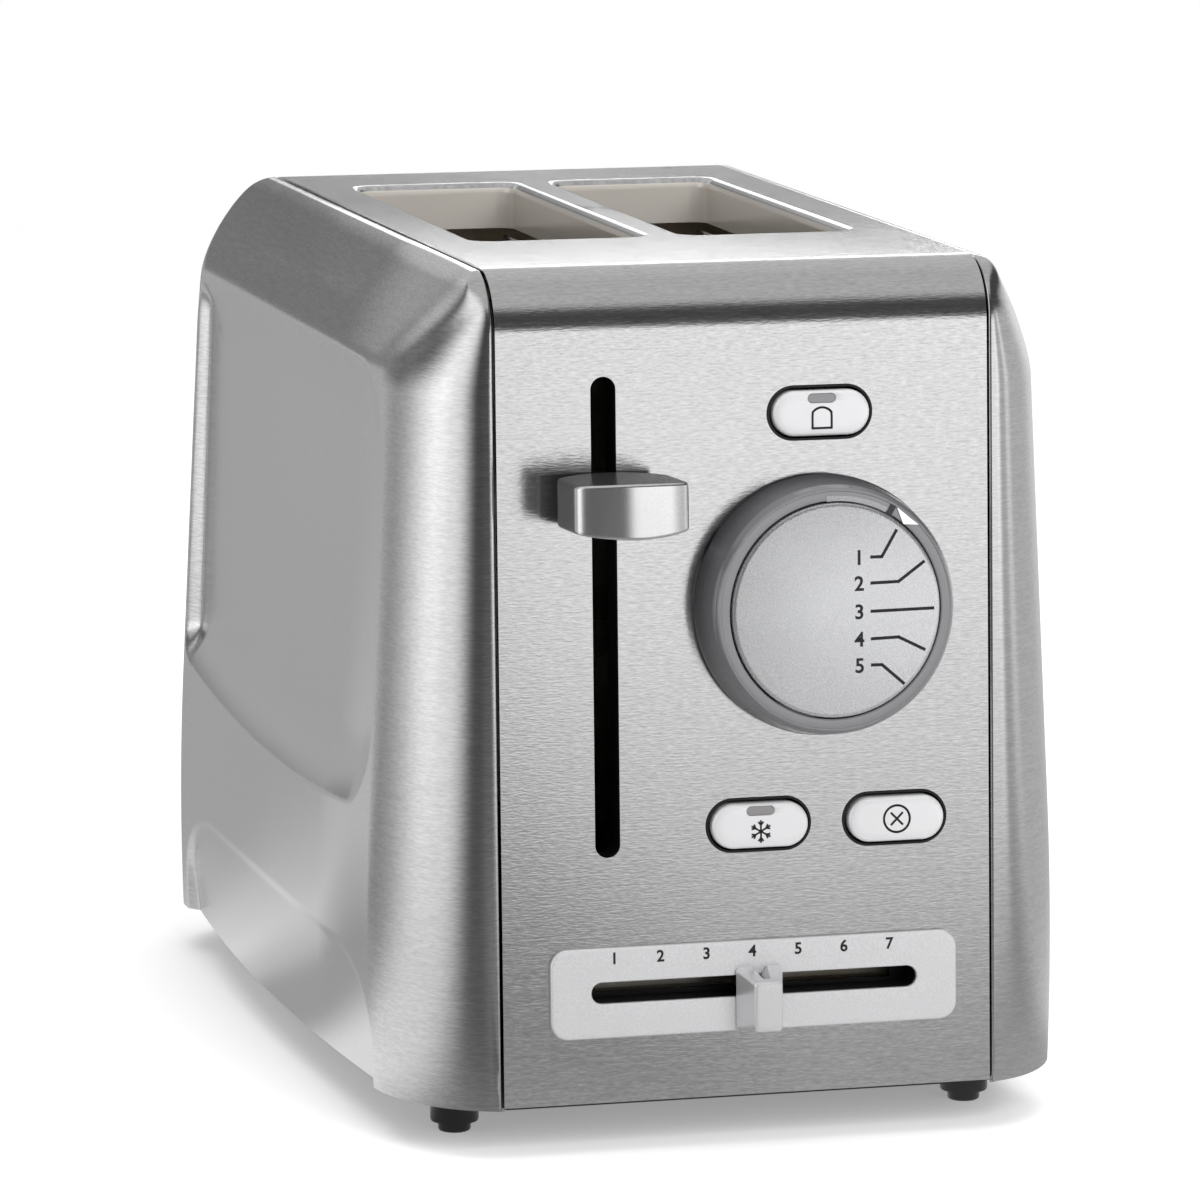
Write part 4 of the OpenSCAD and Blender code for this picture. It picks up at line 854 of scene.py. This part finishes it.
def dialBodies():
    D = dial
    foot, face, high = D["foot"], D["face"], D["high"]
    outside = stepped(face, 0, D["start"]) + stepped(foot, 0, D["skirt"]) + stepped(D["front"], high, D["rim"])
    hollow = stepped(face, high, D["lip"]) + stepped(face, 0, D["well"]) + stepped(0, 0, D["bore"])
    ring = outside + hollow + stepped(face, 0, D["under"])
    facePiece("dial_ring_body", revolve(ring, 160, closed=True), dialAt, "smokeRing", "selector_ring",
              "dial_grey", ["dial_ring"], 40)
    top, under = D["faceHigh"], D["faceHigh"] - D["faceThick"]
    disc = [(0, under), (face, under)] + stepped(face, top, D["faceEdge"]) + [(0, top)]
    facePiece("dial_face_disc", revolve(disc, 128), dialAt, "silverDial", "housing", "dial_silver", ["dial_face"])


dialBodies()

# a pale wedge let into the ring, its tip at the face; degrees anticlockwise from the right, then a slit and a lighter
# band that is painted light, standing in for light refracted through the ring
pointer = dict(turn=50.7, tip=0.0241, foot=0.0263, half=6.9, skew=0.7, deep=0.003, proud=0.00035,
               slit=(7.3, 10.4), shelf=(11.0, 44.0), refractionBandWide=0.0012, sectorDeep=0.001, sectorProud=0.0001)


def sector(inner, outer, start, stop, low, high, count=12):
    # part of a flat ring between two angles, as a solid
    a = np.radians(np.linspace(start, stop, count))
    arc = np.stack([np.cos(a), np.sin(a)], axis=1)
    flat = np.concatenate([inner * arc, outer * arc[::-1]])
    n = len(flat)
    points = np.concatenate([np.column_stack([flat, np.full(n, z)]) for z in (low, high)])
    faces = gridFaces(2, n, True) + acrossLoop(0, n, True) + acrossLoop(n, n, False)
    return points, faces


def onDial(radius, degrees, height):
    a = radians(degrees)
    return [radius * cos(a), radius * sin(a), height]


def dialPointer():
    q, high = pointer, dial["high"]
    corners = [(q["tip"], -q["skew"]), (q["foot"], -q["half"]), (q["foot"], q["half"])]
    wedge = np.array([onDial(r, q["turn"] + a, z) for z in (high - q["deep"], high + q["proud"]) for r, a in corners])
    facePiece("dial_pointer_wedge", (wedge, wedgeFaces), dialAt, "whitePointer", "selector_ring",
              "pointer_white", ["dial_pointer"])
    # the second sector is painted light: a pale grey band standing in for light refracted through the smoky ring
    for name, outer, count, paint in (("slit", q["foot"], 12, "darkPlastic"),
                                      ("shelf", q["tip"] + q["refractionBandWide"], 24, "shelfGrey")):
        start, stop = [q["turn"] + turn for turn in q[name]]
        part = sector(q["tip"], outer, start, stop, high - q["sectorDeep"], high + q["sectorProud"], count)
        facePiece("pointer_" + name, part, dialAt, paint, "selector_ring")


dialPointer()

# leader lines from each numeral towards its place on the ring, in millimetres from the middle
leaders = [[(7.95, 11.5), (10.4, 11.5), (13.75, 17.2)], [(7.95, 5.75), (14.2, 5.85), (20.05, 10.05)],
           [(7.95, -0.5), (22.2, -0.35)], [(7.95, -6.6), (14.15, -6.45), (20.1, -9.45)],
           [(7.95, -12.4), (10.3, -12.45), (15.3, -16.8)]]


def dialNumerals():
    D = dial
    plane = (D["faceHigh"] - inkSunk, D["faceHigh"] + inkProud)
    lines = np.array([[*a, *b] for line in leaders for a, b in zip(line[:-1], line[1:])]) * mm
    numerals = [(str(k + 1), D["numeralAt"], line[0][1] * mm - D["numeralDown"]) for k, line in enumerate(leaders)]
    letters = lettering(numerals, D["numeral"], *plane, weight=D["weight"], align="RIGHT")
    facePiece("dial_numerals", joined(strokes(lines, D["stroke"], *plane), letters), dialAt, "inkBlack", "housing")


dialNumerals()
print("dial made")


# the slot's edge is in millimetres: (drawn in, height from the plate's front)
plateShape = dict(w=0.0937, h=0.0203, r=0.004, high=0.0014, round=0.0006, flatFrom=0.0012,
                  slotW=0.075, slotH=0.0047, numeral=0.0036, numeralUp=0.0076, numeralAside=-0.0006,
                  pitch=0.01058, count=7, weight=0.024,
                  slotEdge=[(0, -0.5), (-0.1, -0.2), (-0.4, 0.05), (-0.4, 1.0)])
plateAt = faceSpot("slider_plate")


def sliderPlate():
    S = plateShape
    high = S["high"]
    shape = ringStack(drawnIn(S["w"], S["h"], S["r"], 12),
                      [(0, 0)] + edgeRound(S["round"], high) + [(S["flatFrom"], high)])
    plate = facePiece("slider_plate_body", shape, plateAt, "silverPlate", "housing",
                      "silver_plastic", ["slider_plate"])
    steps = [(0, -0.001)] + stepped(0, high, S["slotEdge"])
    cutAway(plate, ringStack(drawnIn(S["slotW"], S["slotH"], S["slotH"] / 2, 14), steps), plateAt, "housing")
    middle = (S["count"] - 1) / 2
    across = [(k - middle) * S["pitch"] + S["numeralAside"] for k in range(S["count"])]
    numerals = [(str(k + 1), x, S["numeralUp"]) for k, x in enumerate(across)]
    scale = lettering(numerals, S["numeral"], high - inkSunk, high + inkProud, weight=S["weight"])
    facePiece("browning_numerals", scale, plateAt, "inkBlack", "housing")


sliderPlate()

# grooves are (half width, how far down it reaches) at the back and at the front
slideKnob = dict(w=0.0110, h=0.0146, frontW=0.0062, frontH=0.0112, drop=0.0009, back=0.0017,
                 front=0.0100, down=-0.0027, aside=0.0007, round=0.0006, corner=0.0011,
                 backRound=0.0004, flatFrom=0.0014, grooveBack=(0.0021, 0.0034), grooveFront=(0.0012, 0.0013),
                 grooveEnd=0.0016, grooveOver=0.0006, ease=0.00025,
                 stem=(0.0032, 0.0026, 0.0005), stemBack=-0.0130, stemIn=0.001)


def sliderKnob():
    # the block narrows evenly from its foot to its front and drops a little
    K = slideKnob
    share = lambda h: (h - K["back"]) / (K["front"] - K["back"])
    across = lambda h: K["w"] + (K["frontW"] - K["w"]) * share(h)
    tall = lambda h: K["h"] + (K["frontH"] - K["h"]) * share(h)
    outline = lambda c: roundedOutline(across(c[1]) - 2 * c[0], tall(c[1]) - 2 * c[0], K["corner"] - c[0] * 0.5, 8)
    steps = [(K["backRound"], K["back"]), (0, K["back"] + K["backRound"])] + edgeRound(K["round"], K["front"])
    points, faces = ringStack(outline, [((inset, h), h) for inset, h in steps + [(K["flatFrom"], K["front"])]])
    points[:, 1] -= K["drop"] * share(points[:, 2])
    at = (plateAt[0] + K["aside"], plateAt[1] + K["down"])
    body = "browning_knob"
    knob = facePiece("slider_knob_grip", (points, faces), at, "satinSilver", body, "silver_plastic", ["slider_knob"])
    # a groove along the top, wider and deeper at the back
    end = K["front"] - K["grooveEnd"]
    wedge = []
    for (half, deep), h in ((K["grooveBack"], 0), (K["grooveFront"], end)):
        top = tall(h) / 2 - K["drop"] * share(h) if h else K["h"] / 2
        over = top + K["grooveOver"]
        wedge += [[-half, over, h], [half, over, h], [0, top - deep, h]]
    cutAway(knob, (np.array(wedge), wedgeFaces), at, body, K["ease"])
    w, h, r = K["stem"]
    stem = ringStack(drawnIn(w, h, r, 4), [(0, K["stemBack"]), (0, K["back"] + K["stemIn"])])
    facePiece("slider_stem", stem, plateAt, "slotBlack", body)


sliderKnob()
print("slider made")


# seen from above: half width, front and its bow, flanks and the hollow back; then height and its two crowns
lever = dict(half=0.0128, front=0.0282, bow=0.0035, flank=0.0073, back=0.0009, high=0.0122,
             bowTop=0.0004, bowLow=0.0014, round=0.0007, flatFrom=0.0030, facingPanel=0.25)


def leverPlan(inset):
    # outline seen from above, across and out of the panel; each bow is an arc, r - root(r squared - x squared) deep
    L = lever
    bowR, backR = [(L["half"] ** 2 + sag ** 2) / (2 * sag) for sag in (L["bow"], L["flank"] - L["back"])]
    x = (L["half"] - inset) * np.linspace(-1, 1, 41)
    front = np.stack([x, L["front"] - inset - bowR + np.sqrt(bowR ** 2 - x ** 2)], axis=1)
    rear = np.stack([-x, L["back"] + inset + backR - np.sqrt(backR ** 2 - x ** 2)], axis=1)
    side = np.linspace(0.06, 0.94, 8)[:, None]
    right = front[-1] + (rear[0] - front[-1]) * side
    left = rear[-1] + (front[0] - rear[-1]) * side
    loop = np.concatenate([front, right, rear, left])
    # the corners are eased by averaging along the loop
    for _ in range(3):
        loop = 0.5 * loop + 0.25 * (np.roll(loop, 1, 0) + np.roll(loop, -1, 0))
    return loop


def leverKnob():
    # the plan carried up the knob; its top and bottom fall with the square of the way across
    L = lever
    edge, flat = edgeRound(L["round"], 0, 0, 6), L["flatFrom"]
    steps = [(flat, 0, -1)] + [(i, h, -1) for i, h in edge[::-1]] + [(i, h, 1) for i, h in edge] + [(flat, 0, 1)]
    rings = []
    for inset, h, up in steps:
        x, out = leverPlan(inset).T
        crown = (L["bowTop"] if up > 0 else L["bowLow"]) * (x / L["half"]) ** 2
        rings.append(np.stack([x, up * (L["high"] / 2 + h - crown), out], axis=1))
    n = len(rings[0])
    faces = gridFaces(len(rings), n, True)
    faces += acrossLoop(0, n, True) + acrossLoop((len(rings) - 1) * n, n, False)
    grip = facePiece("lever_knob_grip", (np.concatenate(rings), faces), faceSpot("lever_knob"), "silverKnob",
                     "bread_carriage", "silver_plastic", ["lever_knob"], 40)
    # the side that faces the panel is painted shade: it takes the dark plastic, so that it and its reflection in the
    # panel look dark
    grip.data.materials.append(paints["darkPlastic"])
    facing = np.zeros(len(grip.data.polygons) * 3)
    grip.data.polygons.foreach_get("normal", facing)
    paintedShadeFaces = facing.reshape(-1, 3)[:, 1] > L["facingPanel"]
    grip.data.polygons.foreach_set("material_index", paintedShadeFaces.astype(int))


leverKnob()
print("lever knob made")


# radius and height from the table, in millimetres: grip ring, shoulder, neck and pin
footProfile = [(0, 0), (3.1, 0), (3.5, 0.2), (3.7, 0.6), (3.7, 2.2), (4.7, 2.2), (5.3, 2.4), (5.5, 2.9), (5.5, 7.2),
               (5.0, 7.8), (4.6, 8.2), (4.6, 9.8), (2.4, 9.8), (2.4, 14.0), (0, 14.0)]
for nodeName in ("foot_front_left", "foot_front_right", "foot_rear_left", "foot_rear_right"):
    middle = centreOf(nodeName)
    points, faces = revolve(np.array(footProfile) * mm, 56)
    addPiece(nodeName + "_pad", points + [middle.x, middle.y, 0], faces, "footBlack",
             "housing", "foot_rubber", [nodeName], 38)
print("feet made")


studio = dict(lens=214.5, yaw=14.943, pitch=9.234, eye=(-0.4326, -1.4920, 0.3755), sensor=36.0,
              clip=(0.05, 60), aim=(0, 0, 0.1),
              boxes=dict(topBox=((0.0, 0.1, 1.9), (2.0, 2.0), 20), frontBox=((0.5, -2.0, 1.1), (1.6, 1.2), 44)))

# what metal sees round the object; turns in degrees from the front, right is plus, and climbs above level
room = dict(dim=0.07, high=0.56, up=(34, 46), zenith=0.55, zenithFrom=(55, 80), rearFrom=(112, 140),
            rearLow=0.42, rearMid=0.18, rearHigh=0.62, fall=(0, 4), rise=(10, 20),
            card=(163, 8, 6, 3.8), cardLow=(9.8, 12.2), cardHigh=(14, 24))
# each wall is (turn, half width, soft edge, level, climb where its top begins, climb where it ends)
walls = [(-77, 4, 40, 1.08, 30, 50), (-104, 4, 28, 0.74, 3, 12), (30, 18, 9, 1.32, 0, 6),
         (102, 46, 14, 0.52, 2, 12), (75, 2, 6, 0.45, 2, 12), (-153, 3, 20, 0.10, 14, 30)]
# the floor beside the object, as metal sees it: soft patches of (turn, half width, soft edge, change of level)
floorPatches = [(-72, 6, 30, 0.55), (-34, 6, 16, -0.15), (-158, 18, 12, 0.14), (-136, 3, 9, 0.16),
                (-146, 2, 8, 0.18), (165, 8, 14, 0.26), (105, 20, 30, 0.25)]
# half size, matt tone, what is added for the camera, where its view of it fades to white; then, for metal, the level
# near the object, the reach at which half of it is the room, and a change (from, to, by) close in
floorLook = dict(half=30.0, lit=0.88, lift=0.30, white=(0.9, 2.0), near=0.29, fade=0.92,
                 close=(0.14, 0.30, 0.13))


def rayIs(p, kind):
    return p.node("LightPath", out="Is %s Ray" % kind)


def turnOf(p, x, y):
    return p.maths("ARCTAN2", x, -y) * (180 / pi)


def band(p, turn, middle, half, soft):
    # 1 within half of a middle turn, falling to 0 over the soft edge
    away = p.maths("WRAP", turn - middle, 180.0, -180.0)
    return p.smoothRange(abs(away), half + soft, half)


def panorama(p, turn, climb):
    # level of the room in a direction: soft walls with dim gaps between them, a paler rear with a card in it
    R = room

    def step(span, outLow=0.0, outHigh=1.0):
        if isinstance(climb, Value):
            return p.smoothRange(climb, *span, outLow, outHigh)
        t = min(1, max(0, (climb - span[0]) / (span[1] - span[0])))
        return outLow + (outHigh - outLow) * t * t * (3 - 2 * t)

    rear, zenith = p.smoothRange(abs(turn), *R["rearFrom"]), step(R["zenithFrom"])
    front = R["dim"] + step(R["up"]) * (R["high"] - R["dim"])
    behind = step(R["fall"], R["rearLow"], R["rearMid"]) + step(R["rise"]) * (R["rearHigh"] - R["rearMid"])
    level = front * (1 - rear) + rear * behind
    for middle, half, soft, strength, *top in walls:
        level = level + band(p, turn, middle, half, soft) * (strength * (1 - step(top)))
    *where, strength = R["card"]
    level = level + band(p, turn, *where) * (strength * step(R["cardLow"]) * (1 - step(R["cardHigh"])))
    return level * (1 - zenith) + zenith * R["zenith"]


def studioWorld():
    # the camera sees white; every other ray sees the room
    world = bpy.data.worlds.new("studioWorld")
    scene.world = world
    world.use_nodes = True
    p = Paint("world", world.node_tree)
    x, y, z = p.split(p.node("TexCoord", out="Generated"))
    climb = p.maths("ARCSINE", z) * (180 / pi)
    level = panorama(p, turnOf(p, x, y), climb)
    shade = p.node("Background", {}, {"Color": p.vector(level, level, level), "Strength": 1.0})
    white = p.node("Background", {}, {"Color": grey(1.0), "Strength": 1.0})
    mixed = p.node("MixShader", {}, {0: rayIs(p, "Camera"), 1: shade, 2: white})
    p.surface(mixed, "OutputWorld")


def studioFloor():
    # a matt pale floor; the camera sees it white with the object's shadow, metal sees it as levels of its own
    F = floorLook
    mesh = bpy.data.meshes.new("studioFloor")
    s = F["half"]
    mesh.from_pydata([(-s, -s, 0), (s, -s, 0), (s, s, 0), (-s, s, 0)], [], [(0, 1, 2, 3)])
    p = Paint("floorWhite")
    camera, glossy = rayIs(p, "Camera"), rayIs(p, "Glossy")
    glow = lambda colour, strength: p.node("Emission", {}, {"Color": colour, "Strength": strength})
    x, y, z = p.axes()
    turn, reach = turnOf(p, x, y), (x * x + y * y) ** 0.5
    matt = p.node("BsdfDiffuse", {}, {"Color": grey(F["lit"])})
    seen = p.node("AddShader", {}, {0: matt, 1: glow(grey(1.0), camera * F["lift"])})
    # share of the room at a reach: its square over the sum of its square and the square of the fade
    far = reach * reach / (reach * reach + F["fade"] ** 2)
    low, high, change = F["close"]
    near = F["near"] + p.smoothRange(reach, high, low, 0.0, change)
    for middle, half, soft, change in floorPatches:
        near = near + band(p, turn, middle, half, soft) * change
    level = panorama(p, turn, 0.0) * far + near * (1 - far)
    away = p.smoothRange(reach, *F["white"]) * camera
    base = p.node("MixShader", {}, {0: away, 1: seen, 2: glow(grey(1.0), 1.0)})
    mixed = p.node("MixShader", {}, {0: glossy, 1: base, 2: glow(p.vector(level, level, level), 1.0)})
    p.surface(mixed)
    mesh.materials.append(p.material)
    floor = linked("studioFloor", mesh)


def softBox(name, place, size, power):
    light = bpy.data.lights.new(name, "AREA")
    light.shape, light.size, light.size_y, light.energy = "RECTANGLE", *size, power
    lamp = linked(name, light)
    lamp.location = place
    lamp.rotation_euler = (Vector(studio["aim"]) - Vector(place)).to_track_quat("-Z", "Y").to_euler()
    lamp.visible_glossy = False


def studioCamera():
    data = bpy.data.cameras.new("studioCamera")
    data.sensor_width, data.lens = studio["sensor"], studio["lens"]
    data.clip_start, data.clip_end = studio["clip"]
    camera = linked("studioCamera", data)
    ex, ey, ez = studio["eye"]
    camera.location = (ex, ey + frontY, ez)
    camera.rotation_euler = (radians(90 - studio["pitch"]), 0, -radians(studio["yaw"]))
    scene.camera = camera


studioWorld()
studioFloor()
for boxName, box in studio["boxes"].items():
    softBox(boxName, *box)
studioCamera()
scene.view_settings.view_transform = "Standard"
print("studio set")
